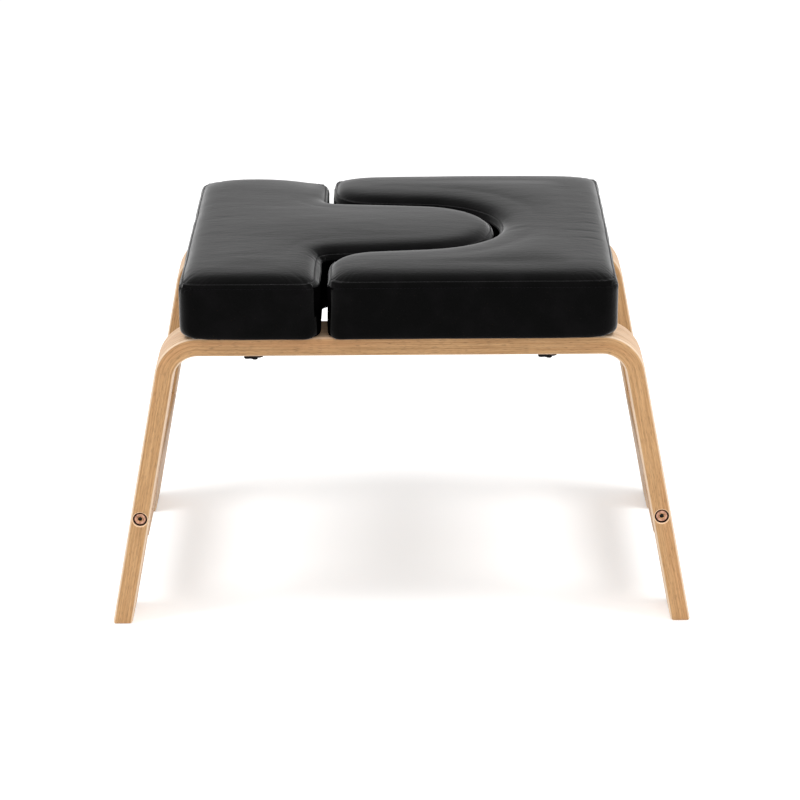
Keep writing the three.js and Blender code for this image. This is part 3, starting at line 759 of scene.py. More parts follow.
def cut(piece: bpy.types.Object, tools: Sequence[bpy.types.Object], sharp: float = 35.0) -> None:
    """Cuts tools out of a piece and deletes them.

    Args:
        piece: the piece.
        tools: closed meshes, which don't touch each other.
        sharp: the angle in degrees from which an edge shows as sharp.
    """
    for tool in tools:
        modifier = piece.modifiers.new("cut", "BOOLEAN")
        modifier.operation = "DIFFERENCE"
        modifier.solver = "EXACT"
        modifier.object = tool
    applied(piece)
    for tool in tools:
        bpy.data.objects.remove(tool)
    smooth(piece, sharp)


def applied(piece: bpy.types.Object) -> None:
    """Turns what a piece's modifiers make into its own plain mesh."""
    bpy.context.view_layer.update()
    graph = bpy.context.evaluated_depsgraph_get()
    shown = piece.evaluated_get(graph)
    mesh = bpy.data.meshes.new_from_object(shown, preserve_all_data_layers=True, depsgraph=graph)
    piece.modifiers.clear()
    piece.data = mesh


def carried(piece: bpy.types.Object, body: str, finish: Finish, *nodes: str) -> bpy.types.Object:
    """Puts a finished piece on its body in place of its CAD nodes.

    Args:
        piece: the finished piece.
        body: the body that it moves with.
        finish: the piece's finish; not used.
        nodes: the CAD nodes that it stands for.

    Returns:
        The piece.
    """
    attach(piece, body)
    if nodes:
        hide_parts(*nodes)
    LOG.info("%s: %d faces on %s", piece.name, len(piece.data.polygons), body)
    return piece


def repaint(piece: bpy.types.Object, finish: Finish, chosen: Any) -> None:
    """Gives some of a piece's faces another finish.

    Args:
        piece: the piece.
        finish: the finish.
        chosen: tells for the faces' middles, in millimetres, which faces get it.
    """
    piece.data.materials.append(finish.material())
    faces = piece.data.polygons
    middles = np.zeros(len(faces) * 3, np.float32)
    faces.foreach_get("center", middles)
    index = len(piece.data.materials) - 1
    for number in np.flatnonzero(chosen(middles.reshape(-1, 3).astype(float) / MM)):
        faces[int(number)].material_index = index


def seen_from(matrix: Matrix, points: Points) -> tuple[np.ndarray, np.ndarray]:
    """How far points lie from a tool's axis, and how high along it.

    Args:
        matrix: where the tool stands.
        points: places in the part's frame.

    Returns:
        The distances and the heights.
    """
    own = moved(points, matrix.inverted())
    return np.hypot(own[:, 0], own[:, 1]), own[:, 2]


def give_places(piece: bpy.types.Object, name: str, places: Points) -> None:
    """Stores a place for each point of a piece, from millimetres to metres."""
    attribute = piece.data.attributes.new(name, "FLOAT_VECTOR", "POINT")
    attribute.data.foreach_set("vector", (np.asarray(places, float) * MM).astype(np.float32).ravel())


def mesh_points(piece: bpy.types.Object) -> Points:
    """A piece's points in millimetres."""
    flat = np.zeros(len(piece.data.vertices) * 3, np.float32)
    piece.data.vertices.foreach_get("co", flat)
    return flat.reshape(-1, 3).astype(float) / MM


def rounded_section(width: float, height: float, radius: float, steps: int, across: int, up: int) -> Points:
    """A rectangle with round corners about the origin, run anticlockwise.

    Args:
        width: its size along its first axis.
        height: its size along its second axis.
        radius: its corners' radius.
        steps: how many faces a corner has.
        across: how many faces a long side along the first axis has.
        up: how many faces a side along the second axis has.

    Returns:
        Its points.
    """
    points: list[tuple[float, float]] = []
    signs = ((1, 1), (-1, 1), (-1, -1), (1, -1))
    for quarter, (sx, sy) in enumerate(signs):
        middle = np.array([sx * (width / 2 - radius), sy * (height / 2 - radius)])
        for i in range(steps + 1):
            angle = (quarter + i / steps) * math.pi / 2
            points.append(tuple(middle + radius * np.array([math.cos(angle), math.sin(angle)])))
        nx, ny = signs[(quarter + 1) % 4]
        start = np.array(points[-1])
        end_angle = (quarter + 1) * math.pi / 2
        end = np.array([nx * (width / 2 - radius), ny * (height / 2 - radius)])
        end = end + radius * np.array([math.cos(end_angle), math.sin(end_angle)])
        count = across if quarter % 2 == 0 else up
        points.extend(tuple(start + (end - start) * k / count) for k in range(1, count))
    return np.array(points)


# What the pieces share


@dataclass(frozen=True)
class Layout:
    """The sizes that place the pieces against each other."""

    foot_span: float = 600.0
    frame_depth: float = 366.0
    frame_forward: float = 5.0
    strip_width: float = 56.0
    strip_thickness: float = 19.6
    bar_top: float = 312.6
    splay: float = math.radians(10.8)
    bolt_height: float = 117.0
    counterbore: float = 14.6
    counterbore_depth: float = 6.0
    bolt_hole: float = 7.0
    dowel_below_bolt: float = 26.0
    dowel_hole: float = 8.5
    dowel_hole_depth: float = 16.5
    knob_spacing: float = 298.0
    stud_hole: float = 7.4
    gap: float = 0.3
    board_top: float = 326.6

    @property
    def crossbar_length(self) -> float:
        """How long the crossbars are."""
        return self.frame_depth - 2 * self.strip_width - 2 * self.gap

    def leg_middle(self, height: float) -> float:
        """How far the middle of a leg is from the stool's middle at a height."""
        slant = self.strip_thickness / 2 / math.cos(self.splay)
        return self.foot_span / 2 - height * math.tan(self.splay) - slant

    def strip_middle(self, end: int) -> float:
        """The middle of the front strip's width, or of the rear one's for end 1."""
        return end * (self.frame_depth / 2 - self.strip_width / 2) - self.frame_forward

    def leaning(self, side: int) -> Matrix:
        """The frame of the crossbar on one side: its Z runs up the leg and the bolts' axis is its Y."""
        x = side * self.leg_middle(self.bolt_height)
        place = Matrix.Translation((x, -self.frame_forward, self.bolt_height))
        return place @ Matrix.Rotation(-side * self.splay, 4, "Y")

    def knob_place(self, side: int, end: int) -> tuple[float, float]:
        """Where a knob's axis stands."""
        return side * self.knob_spacing / 2, self.strip_middle(end)


def out_of(end: int) -> Matrix:
    """Turns Z out of the front, or out of the rear for end 1."""
    return Matrix.Rotation(-end * math.pi / 2, 4, "X")


def into(side: int) -> Matrix:
    """Turns Z from a crossbar towards the stool's middle."""
    return Matrix.Rotation(-side * math.pi / 2, 4, "Y")


LAYOUT = Layout()
SIDES = {"left": -1, "right": 1}
ENDS = {"front": -1, "rear": 1}


# The wooden frame


@dataclass
class BentFrame:
    """One bent strip: a bar across the stool with two splayed legs."""

    layout: Layout
    end_name: str
    bend_radius: float = 45.0
    edge_round: float = 2.4
    foot_round: float = 2.8
    edge_steps: int = 6
    bend_steps: int = 30
    leg_steps: int = 26
    bar_steps: int = 40
    hole_sides: int = 64
    rim: float = 0.55
    bolt_rim: float = 1.1
    bolt_slack: float = 0.05
    overcut: float = 1.0
    pin_overcut: float = 4.0

    @property
    def end(self) -> int:
        """-1 at the front and 1 at the rear."""
        return ENDS[self.end_name]

    def bend_centre(self) -> tuple[float, float]:
        """The right bend's middle, as X and Z."""
        z = self.layout.bar_top - self.bend_radius
        slant = self.bend_radius + z * math.sin(self.layout.splay)
        return self.layout.foot_span / 2 - slant / math.cos(self.layout.splay), z

    def stations(self) -> list[tuple[float, float, float]]:
        """Places along the outer face from the right leg to the left one, with their normals' angles."""
        x0, z0 = self.bend_centre()
        splay, radius = self.layout.splay, self.bend_radius
        right = []
        for i in range(self.bend_steps + 1):
            angle = splay + i / self.bend_steps * (math.pi / 2 - splay)
            right.append((x0 + radius * math.cos(angle), z0 + radius * math.sin(angle), angle))
        bar = [(x0 - 2 * x0 * i / self.bar_steps, self.layout.bar_top, math.pi / 2)
               for i in range(1, self.bar_steps)]
        left = [(-x, z, math.pi - angle) for x, z, angle in reversed(right)]
        return right + bar + left

    def foot_sections(self, section: Points) -> list[Points]:
        """The right leg's sections from its foot up, the foot's edge rounded."""
        splay = self.layout.splay
        along = np.array([-math.sin(splay), 0, math.cos(splay)])
        across = np.array([math.cos(splay), 0, math.sin(splay)])
        outer = np.array([self.layout.foot_span / 2, 0, 0])
        quarter = np.linspace(0, math.pi / 2, self.edge_steps)
        low = [self.foot_round * (1 - math.cos(a)) for a in quarter]
        drawn = [self.foot_round * (1 - math.sin(a)) for a in quarter]
        top = self.bend_centre()[1] - self.layout.strip_thickness
        heights = low + [self.foot_round + (top - self.foot_round) * (i + 1) / self.leg_steps
                         for i in range(self.leg_steps)]
        drawn += [0.0] * self.leg_steps
        rings = []
        for height, inset in zip(heights, drawn):
            shrink = 1 - 2 * inset / np.array([self.layout.strip_thickness, self.layout.strip_width])
            flat = section * shrink
            points = outer + np.outer(flat[:, 0] - self.layout.strip_thickness / 2, across)
            points[:, 1] = flat[:, 1]
            points += np.outer((height - points[:, 2]) / along[2], along)
            rings.append(points)
        return rings

    def strip_places(self, points: Points) -> Points:
        """Where each point lies in the strip: along it from the bar's middle, through it and across it.

        Args:
            points: places in the part's frame.

        Returns:
            Three lengths for each, the last two from the strip's middle.
        """
        x0, z0 = self.bend_centre()
        splay, radius = self.layout.splay, self.bend_radius
        x, z = np.abs(points[:, 0]), points[:, 2]
        sign = np.where(points[:, 0] < 0, -1.0, 1.0)
        dx, dz = x - x0, z - z0
        angle = np.clip(np.arctan2(dz, np.maximum(dx, 1e-6)), splay, math.pi / 2)
        middle = radius - self.layout.strip_thickness / 2
        down = -dx * math.sin(splay) + dz * math.cos(splay)
        on_bar = dx < 0
        on_leg = (down < 0) & ~on_bar
        bend_along = x0 + (math.pi / 2 - angle) * middle
        leg_along = x0 + (math.pi / 2 - splay) * middle - down
        along = np.where(on_bar, x, np.where(on_leg, leg_along, bend_along))
        outwards = np.where(on_leg, dx * math.cos(splay) + dz * math.sin(splay), np.hypot(dx, dz))
        out = np.where(on_bar, dz, outwards) - middle
        return np.column_stack([sign * along, out, points[:, 1] - self.layout.strip_middle(self.end)])

    def hole(self, name: str, profile: Profile, matrix: Matrix) -> bpy.types.Object:
        """A turned tool that cuts a hole."""
        return turned(profile, self.hole_sides, matrix).finished(name, BENT_BEECH)

    def bolt_face(self, side: int) -> Matrix:
        """Where a bolt's hole starts, with the third axis out of the leg."""
        to_face = Matrix.Translation((0, self.end * self.layout.frame_depth / 2, 0))
        return self.layout.leaning(side) @ to_face @ out_of(self.end)

    def round_bolts(self, points: Points, chosen: Any) -> np.ndarray:
        """Which places are chosen, by their distance from a bolt's axis and their height on it."""
        return np.any([chosen(*seen_from(self.bolt_face(side), points)) for side in SIDES.values()], axis=0)

    def shaded_bore_walls(self, points: Points) -> np.ndarray:
        """Which places lie on the bolt holes' walls, which get a painted shade."""
        wall = self.layout.counterbore / 2 + 2 * self.bolt_slack
        top, floor = -self.bolt_rim - self.bolt_slack, -self.layout.strip_width - 10 * self.bolt_slack
        return self.round_bolts(points, lambda radius, z: (radius < wall) & (z < top) & (z > floor))

    def highlighted_bevels(self, points: Points) -> np.ndarray:
        """Which places lie on the bevels round the bolts' holes, which get a pale painted highlight."""
        wall, half = self.layout.counterbore / 2 + self.bolt_rim, self.bolt_rim / 2
        near = 6 * self.bolt_slack
        return self.round_bolts(points, lambda radius, z: (radius < wall) & (np.abs(z + half) < near))

    def holes(self) -> list[bpy.types.Object]:
        """The tools for the bolts, the dowels and the knobs' studs."""
        layout, end, more = self.layout, self.end, self.overcut
        out, half = layout.counterbore / 2, layout.strip_thickness / 2
        hole, pin, bore = layout.bolt_hole / 2, layout.dowel_hole / 2, layout.stud_hole / 2
        bolt = [
            (out + self.bolt_rim + more, more), (out + self.bolt_rim, 0.0), (out, -self.bolt_rim),
            (out, -layout.counterbore_depth), (hole, -layout.counterbore_depth),
            (hole, -layout.strip_width - 2 * more),
        ]
        dowel = [(pin, layout.dowel_hole_depth), (pin, -self.pin_overcut)]
        inner_face = end * (layout.frame_depth / 2 - layout.strip_width)
        at_dowel = Matrix.Translation((0, inner_face, -layout.dowel_below_bolt)) @ out_of(end)
        stud = [(bore + self.rim + more, half + more), (bore + self.rim, half), (bore, half - self.rim)]
        stud += [(radius, -height) for radius, height in stud[::-1]]
        tools = []
        for side_name, side in SIDES.items():
            at_bar = Matrix.Translation((*layout.knob_place(side, end), layout.bar_top - half))
            tools.append(self.hole(f"bolt_tool_{side_name}", bolt, self.bolt_face(side)))
            tools.append(self.hole(f"pin_tool_{side_name}", dowel, layout.leaning(side) @ at_dowel))
            tools.append(self.hole(f"stud_tool_{side_name}", stud, at_bar))
        return tools

    def build(self) -> bpy.types.Object:
        """Makes the strip.

        Returns:
            The piece.
        """
        layout = self.layout
        section = rounded_section(
            layout.strip_thickness, layout.strip_width, self.edge_round, self.edge_steps, 6, 12
        )
        leg = self.foot_sections(section)
        inward = section[:, 0] - layout.strip_thickness / 2
        bend = [np.column_stack([x + inward * math.cos(angle), section[:, 1], z + inward * math.sin(angle)])
                for x, z, angle in self.stations()]
        mirrored = [ring * np.array([-1, 1, 1]) for ring in reversed(leg)]
        shift = np.array([0, layout.strip_middle(self.end), 0])
        mesh = Mesh()
        mesh.solid([ring + shift for ring in leg + bend + mirrored])
        name = f"{self.end_name}_frame"
        piece = mesh.finished(f"{name}_strip", BENT_BEECH)
        cut(piece, self.holes())
        # The bolt holes' walls get a painted shade.
        repaint(piece, BORE_PAINTED_SHADE, self.shaded_bore_walls)
        # Their bevels get a pale painted highlight.
        repaint(piece, RIM_PAINTED_HIGHLIGHT, self.highlighted_bevels)
        give_places(piece, BENT_BEECH.attribute, self.strip_places(mesh_points(piece)))
        return carried(piece, "frame", BENT_BEECH, name)


@dataclass
class Crossbar:
    """A board between the legs of one side, with its holes."""

    layout: Layout
    side_name: str
    height: float = 70.0
    thickness: float = 21.0
    edge_round: float = 3.0
    bolt_above_middle: float = 6.0
    nut_setback: float = 27.0
    nut_hole: float = 10.5
    nut_length: float = 15.0
    nut_rim: float = 0.5
    past_nut: float = 10.8
    overcut: float = 4.0
    end_round: float = 0.5
    steps: int = 30

    def tools(self, matrix: Matrix) -> list[bpy.types.Object]:
        """The tools for the bolts, the barrel nuts and the dowels."""
        layout = self.layout
        half, face, rim = layout.crossbar_length / 2, self.thickness / 2, self.nut_rim
        hole, pin, bore = layout.bolt_hole / 2, layout.dowel_hole / 2, self.nut_hole / 2
        shank = [(hole, self.overcut), (hole, -self.nut_setback - self.past_nut)]
        nut = [(bore + 3 * rim, face + 2 * rim), (bore + rim, face), (bore, face - rim),
               (bore, -self.nut_length / 2 - layout.gap)]
        dowel = [(pin, self.overcut), (pin, -layout.dowel_hole_depth)]
        tools = []
        for end in ENDS.values():
            at_end = Matrix.Translation((0, end * half, 0)) @ out_of(end)
            at_nut = Matrix.Translation((0, end * (half - self.nut_setback), 0)) @ into(SIDES[self.side_name])
            at_pin = Matrix.Translation((0, end * half, -layout.dowel_below_bolt)) @ out_of(end)
            for profile, sides, place in ((shank, 32, at_end), (nut, 48, at_nut), (dowel, 32, at_pin)):
                tools.append(turned(profile, sides, matrix @ place).finished("board_tool", BENT_BEECH))
        return tools

    def build(self) -> bpy.types.Object:
        """Makes the board.

        Returns:
            The piece.
        """
        half = self.layout.crossbar_length / 2
        section = rounded_section(self.thickness, self.height, self.edge_round, 6, 5, 12)
        stops = [(half, self.end_round), (half - self.end_round, 0.0)]
        stops += [(half - self.end_round - (2 * half - 2 * self.end_round) * i / self.steps, 0.0)
                  for i in range(1, self.steps + 1)]
        stops.append((-half, self.end_round))
        rings = []
        for y, inset in stops:
            flat = section * (1 - 2 * inset / np.array([self.thickness, self.height]))
            height = flat[:, 1] - self.bolt_above_middle
            rings.append(np.column_stack([flat[:, 0], np.full(len(flat), y), height]))
        matrix = self.layout.leaning(SIDES[self.side_name])
        mesh = Mesh()
        mesh.solid([moved(ring[::-1], matrix) for ring in rings])
        name = f"{self.side_name}_crossbar"
        piece = mesh.finished(f"{name}_board", CROSSBAR_BEECH)
        cut(piece, self.tools(matrix))
        local = moved(mesh_points(piece), matrix.inverted())
        places = np.column_stack([local[:, 1], local[:, 0], local[:, 2] + self.bolt_above_middle])
        give_places(piece, CROSSBAR_BEECH.attribute, places)
        return carried(piece, "frame", CROSSBAR_BEECH, name)


# Fasteners


@dataclass
class CornerPiece:
    """A small piece that each corner of the stool has."""

    layout: Layout
    side_name: str
    end_name: str

    @property
    def corner(self) -> str:
        """The corner's name."""
        return f"{self.end_name}_{self.side_name}"

    @property
    def side(self) -> int:
        """-1 at the left and 1 at the right."""
        return SIDES[self.side_name]

    @property
    def end(self) -> int:
        """-1 at the front and 1 at the rear."""
        return ENDS[self.end_name]

    def on_knob_axis(self, height: float) -> tuple[float, float, float]:
        """The place on the knob's axis at a height."""
        return (*self.layout.knob_place(self.side, self.end), height)


@dataclass
class ConnectorBolt(CornerPiece):
    """A copper-coloured bolt with a dished head and a hexagon socket."""

    shank: float = 6.0
    shank_length: float = 86.3
    head: float = 12.2
    head_height: float = 4.2
    recess: float = 1.5
    bevel: float = 1.0
    dish: float = 0.7
    rim: float = 2.6
    socket: float = 4.2
    socket_depth: float = 3.2
    thread_pitch: float = 1.0
    thread_depth: float = 0.35
    thread_length: float = 30.0
    sides: int = 72

    def head_profile(self) -> Profile:
        """The head from the edge of its dish to the shank."""
        out = self.head / 2
        bevel = [(out - self.bevel * (1 - math.sin(a)), -self.bevel * (1 - math.cos(a)))
                 for a in np.linspace(0, math.pi / 2, 7)]
        return [
            (out - self.rim - 0.85, -self.dish), (out - self.rim - 0.5, -self.dish * 0.8),
            (out - self.rim - 0.15, -0.12), (out - self.rim, 0.0), *bevel,
            (out, -self.head_height + 0.3), (out - 0.3, -self.head_height),
            (self.shank / 2 + 0.3, -self.head_height), (self.shank / 2, -self.head_height - 0.4),
        ]

    def thread_profile(self) -> Profile:
        """The shank's ridges down to its rounded end."""
        radius, low = self.shank / 2, -self.head_height - self.shank_length
        start = low + self.thread_length
        ridges = []
        for i in range(int((start - low - 2) / self.thread_pitch)):
            z = start - i * self.thread_pitch
            ridges += [(radius, z), (radius - self.thread_depth, z - self.thread_pitch / 2)]
        return [*ridges, (radius - 0.1, low + 1.2), (radius - 1, low)]

    def hexagon(self) -> Points:
        """The socket's outline with as many points as a ring has."""
        angles = around(self.sides)
        turn = (angles + math.pi / 6) % (math.pi / 3) - math.pi / 6
        reach = self.socket / 2 / np.cos(turn)
        return np.column_stack([np.cos(angles) * reach, np.sin(angles) * reach])

    def build(self) -> bpy.types.Object:
        """Makes the bolt.

        Returns:
            The piece.
        """
        hexagon = self.hexagon()
        floor, rim = -self.dish - self.socket_depth, -self.dish
        socket = ((0.4, floor - 0.5), (0.97, floor), (1.0, floor + 0.2), (1.0, rim - 0.2), (1.06, rim))
        rings = [level(hexagon * share, height) for share, height in socket]
        for radius, height in self.head_profile() + self.thread_profile():
            rings.append(level(circle(self.sides) * radius, height))
        top = Matrix.Translation((0, self.end * (self.layout.frame_depth / 2 - self.recess), 0))
        matrix = self.layout.leaning(self.side) @ top @ out_of(self.end)
        mesh = Mesh()
        mesh.solid([moved(ring, matrix) for ring in rings])
        piece = mesh.finished(f"connector_bolt_{self.corner}", COPPER, 30.0)

        def in_dish(points: Points) -> np.ndarray:
            """Which places lie in the head's dish."""
            radius, height = seen_from(matrix, points)
            return (radius < self.head / 2 - self.rim - 0.1) & (height > -self.head_height)

        def in_socket(points: Points) -> np.ndarray:
            """Which places lie in the socket, which gets a painted shade."""
            radius, height = seen_from(matrix, points)
            return (radius < self.socket * 0.58) & (height < rim - 0.15) & (height > floor - 0.6)

        repaint(piece, WORN_COPPER, in_dish)
        # The socket gets a painted shade.
        repaint(piece, SOCKET_PAINTED_SHADE, in_socket)
        return carried(piece, "frame", COPPER, f"bolt_{self.corner}")


@dataclass
class BarrelNut(CornerPiece):
    """A cross dowel in a crossbar, with a screwdriver slot in the end that shows."""

    diameter: float = 10.0
    length: float = 15.0
    bevel: float = 0.7
    bore: float = 6.5
    slot_width: float = 1.6
    slot_depth: float = 1.5
    setback: float = 27.0

    def build(self) -> bpy.types.Object:
        """Makes the nut.

        Returns:
            The piece.
        """
        radius, half = self.diameter / 2, self.length / 2
        place = Matrix.Translation((0, self.end * (self.layout.crossbar_length / 2 - self.setback), 0))
        matrix = self.layout.leaning(self.side) @ place @ into(self.side)
        profile = [(radius - self.bevel, half), (radius - 0.2, half - 0.3), (radius, half - self.bevel),
                   (radius, self.bevel - half), (radius - self.bevel, -half)]
        piece = turned(profile, 48, matrix).finished(f"cross_dowel_{self.corner}", ZINC, 30.0)
        along_y = Matrix.Rotation(math.pi / 2, 4, "X")
        bore = [(self.bore / 2, self.diameter), (self.bore / 2, -self.diameter)]
        hole = turned(bore, 32, matrix @ along_y).finished("bore_tool", ZINC)
        long, wide = self.diameter, self.slot_width / 2
        corners = np.array([(-long, -wide), (long, -wide), (long, wide), (-long, wide)])
        slot = Mesh()
        slot.solid([moved(level(corners, z), matrix) for z in (half + 2, half - self.slot_depth)])
        cut(piece, [hole, slot.finished("slot_tool", ZINC)], 30.0)
        return carried(piece, "frame", ZINC, f"barrel_nut_{self.corner}")


@dataclass
class Knob(CornerPiece):
    """A lobed screw head under a bar."""

    diameter: float = 21.0
    lobes: int = 5
    lobe_depth: float = 1.6
    grip: float = 6.0
    collar: float = 2.0
    collar_diameter: float = 12.0
    edge: float = 1.4
    bottom: float = 283.2
    bore: float = 6.5
    floor: float = 2.0
    sides: int = 120

    def ring(self, shrink: float, height: float, roundness: float = 0.0) -> Points:
        """A ring of the grip.

        Args:
            shrink: how far it is inside the grip's outline.
            height: its height over the knob's bottom.
            roundness: 0 for the full lobes, 1 for a plain circle.

        Returns:
            Its points.
        """
        depth = self.lobe_depth * (1 - np.cos(self.lobes * around(self.sides))) * (1 - roundness)
        radius = self.diameter / 2 - depth - shrink
        return level(circle(self.sides) * radius[:, None], height)

    def circle(self, radius: float, height: float) -> Points:
        """A plain ring."""
        return self.ring(self.diameter / 2 - radius, height, 1.0)

    def build(self) -> bpy.types.Object:
        """Makes the knob.

        Returns:
            The piece.
        """
        top = self.grip + self.collar
        quarter = np.linspace(0, math.pi / 2, 7)
        rounded = [(self.edge * (1 - math.sin(a)), self.edge * (1 - math.cos(a))) for a in quarter]
        upper = [self.ring(shrink, self.grip - drop) for shrink, drop in rounded]
        lower = [self.ring(shrink, drop) for drop, shrink in rounded]
        collar, bore = self.collar_diameter / 2, self.bore / 2
        rings = [
            self.circle(bore - 0.2, self.floor), self.circle(bore, self.floor + 0.2),
            self.circle(bore, top - 0.3),
            self.circle(bore + 0.3, top), self.circle(collar - 0.3, top), self.circle(collar, top - 0.3),
            self.circle(collar, self.grip + 0.4), self.circle(collar + 0.3, self.grip),
            *upper, *lower,
            self.ring(self.edge + 1.2, 0.0, 0.2), self.circle(5.6, 0.0), self.circle(5.2, 0.25),
            self.circle(4.9, 0.7), self.circle(2.5, 0.75), self.circle(0.6, 0.75),
        ]
        place = np.array(self.on_knob_axis(self.bottom))
        mesh = Mesh()
        mesh.solid([ring + place for ring in rings])
        piece = mesh.finished(f"lobed_knob_{self.corner}", PLASTIC, 40.0)
        return carried(piece, f"knob_{self.corner}", PLASTIC, f"knob_{self.corner}")


@dataclass
class Washer(CornerPiece):
    """A flat black washer between a knob and its bar."""

    diameter: float = 18.0
    bore: float = 6.5
    thickness: float = 1.2
    bottom: float = 291.5
    edge: float = 0.25

    def build(self) -> bpy.types.Object:
        """Makes the washer.

        Returns:
            The piece.
        """
        out, hole, t, e = self.diameter / 2, self.bore / 2, self.thickness, self.edge
        profile = [(hole + e, t), (out - e, t), (out, t - e), (out, e), (out - e, 0), (hole + e, 0),
                   (hole, e), (hole, t - e), (hole + e, t)]
        mesh = turned(profile, 72, Matrix.Translation(self.on_knob_axis(self.bottom)))
        piece = mesh.finished(f"flat_washer_{self.corner}", BLACK_STEEL, 40.0)
        return carried(piece, "frame", BLACK_STEEL, f"washer_{self.corner}")


# Outlines of the pads


@dataclass(frozen=True)
class Corner:
    """One corner of a pad seen from above, with its radius at the edge and where the crown is full."""

    x: float
    y: float
    radius: float
    crown_radius: float = 0.0


@dataclass(frozen=True)
class Droop:
    """A place where the crown and the seam come lower than elsewhere, or lie to one side."""

    x: float
    y: float
    reach: float
    crown_share: float
    seam_drop: float
    aside: float = 0.0


@dataclass(frozen=True)
class Crease:
    """A soft fold in a pad's top, which runs at an angle from the X axis."""

    x: float
    y: float
    angle: float
    length: float
    width: float
    depth: float

    def sink(self, x: float, y: float) -> float:
        """How far the top lies lower at a place."""
        cos, sin = math.cos(math.radians(self.angle)), math.sin(math.radians(self.angle))
        along = (x - self.x) * cos + (y - self.y) * sin
        across = (y - self.y) * cos - (x - self.x) * sin
        return self.depth * math.exp(-((2 * along / self.length) ** 2) - (across / self.width) ** 2)


@dataclass(frozen=True)
class Crown:
    """How a pad's top rises from its seam: a tight roll, a softer slope and a slight dome."""

    roll: float
    roll_reach: float
    slope: float
    slope_reach: float
    dome: float

    def rise(self, inwards: Any) -> Any:
        """The height over the seam at distances in from it, without the dome."""
        roll = self.roll * (1 - np.exp(-inwards / self.roll_reach))
        return roll + self.slope * (1 - np.exp(-inwards / self.slope_reach))


@dataclass(frozen=True)
class PadPlan:
    """The sizes of both pads seen from above."""

    length: float = 443.0
    depth: float = 386.0
    t_head: float = 143.5
    gap: float = 5.4
    slot_gap: float = 5.5
    slot_radius: float = 86.0
    slot_centre: float = 20.0
    taper: float = math.radians(6.5)
    corner: float = 11.0
    crown_corner: float = 24.0
    t_corner: float = 19.0
    t_inner: float = 12.0
    mouth: float = 46.0

    @property
    def t_right(self) -> float:
        """Where the T's head ends."""
        return self.t_head - self.length / 2

    @property
    def u_left(self) -> float:
        """Where the U's arms begin."""
        return self.t_right + self.gap

    def tip(self, radius: float) -> float:
        """Where the tapered sides that touch a circle meet."""
        return self.slot_centre + radius / math.sin(self.taper)

    def half_width(self, radius: float, x: float) -> float:
        """Half the distance between those sides at x."""
        return (self.tip(radius) - x) * math.tan(self.taper)

    def t_corners(self, reach: float) -> tuple[Corner, ...]:
        """The T's corners, anticlockwise."""
        left, right, half = -self.length / 2, self.t_right, self.depth / 2
        radius = self.slot_radius - self.slot_gap
        root = self.half_width(radius, right)
        return (
            Corner(left + 0.4, -half, self.corner + 3, self.crown_corner),
            Corner(right - 1.2, -half, self.t_corner, self.crown_corner),
            Corner(right - 1.0, -root, self.t_inner),
            Corner(self.tip(radius), 0.0, radius, radius - reach),
            Corner(right, root, self.t_inner),
            Corner(right, half, self.t_corner, self.crown_corner),
            Corner(left + 1.2, half, self.corner + 5, self.crown_corner + 4),
        )

    def u_corners(self, reach: float) -> tuple[Corner, ...]:
        """The U's corners, anticlockwise."""
        left, right, half = self.u_left, self.length / 2, self.depth / 2
        mouth = self.half_width(self.slot_radius, left)
        return (
            Corner(left + 0.6, -half, self.corner + 5, 0.0),
            Corner(right - 2.5, -half, self.corner + 5, self.crown_corner),
            Corner(right + 0.8, half, self.corner, self.crown_corner),
            Corner(left, half, self.corner, 0.0),
            Corner(left, mouth, self.mouth, self.mouth - reach),
            Corner(self.tip(self.slot_radius), 0.0, self.slot_radius),
            Corner(left, -mouth, self.mouth, self.mouth - reach),
        )


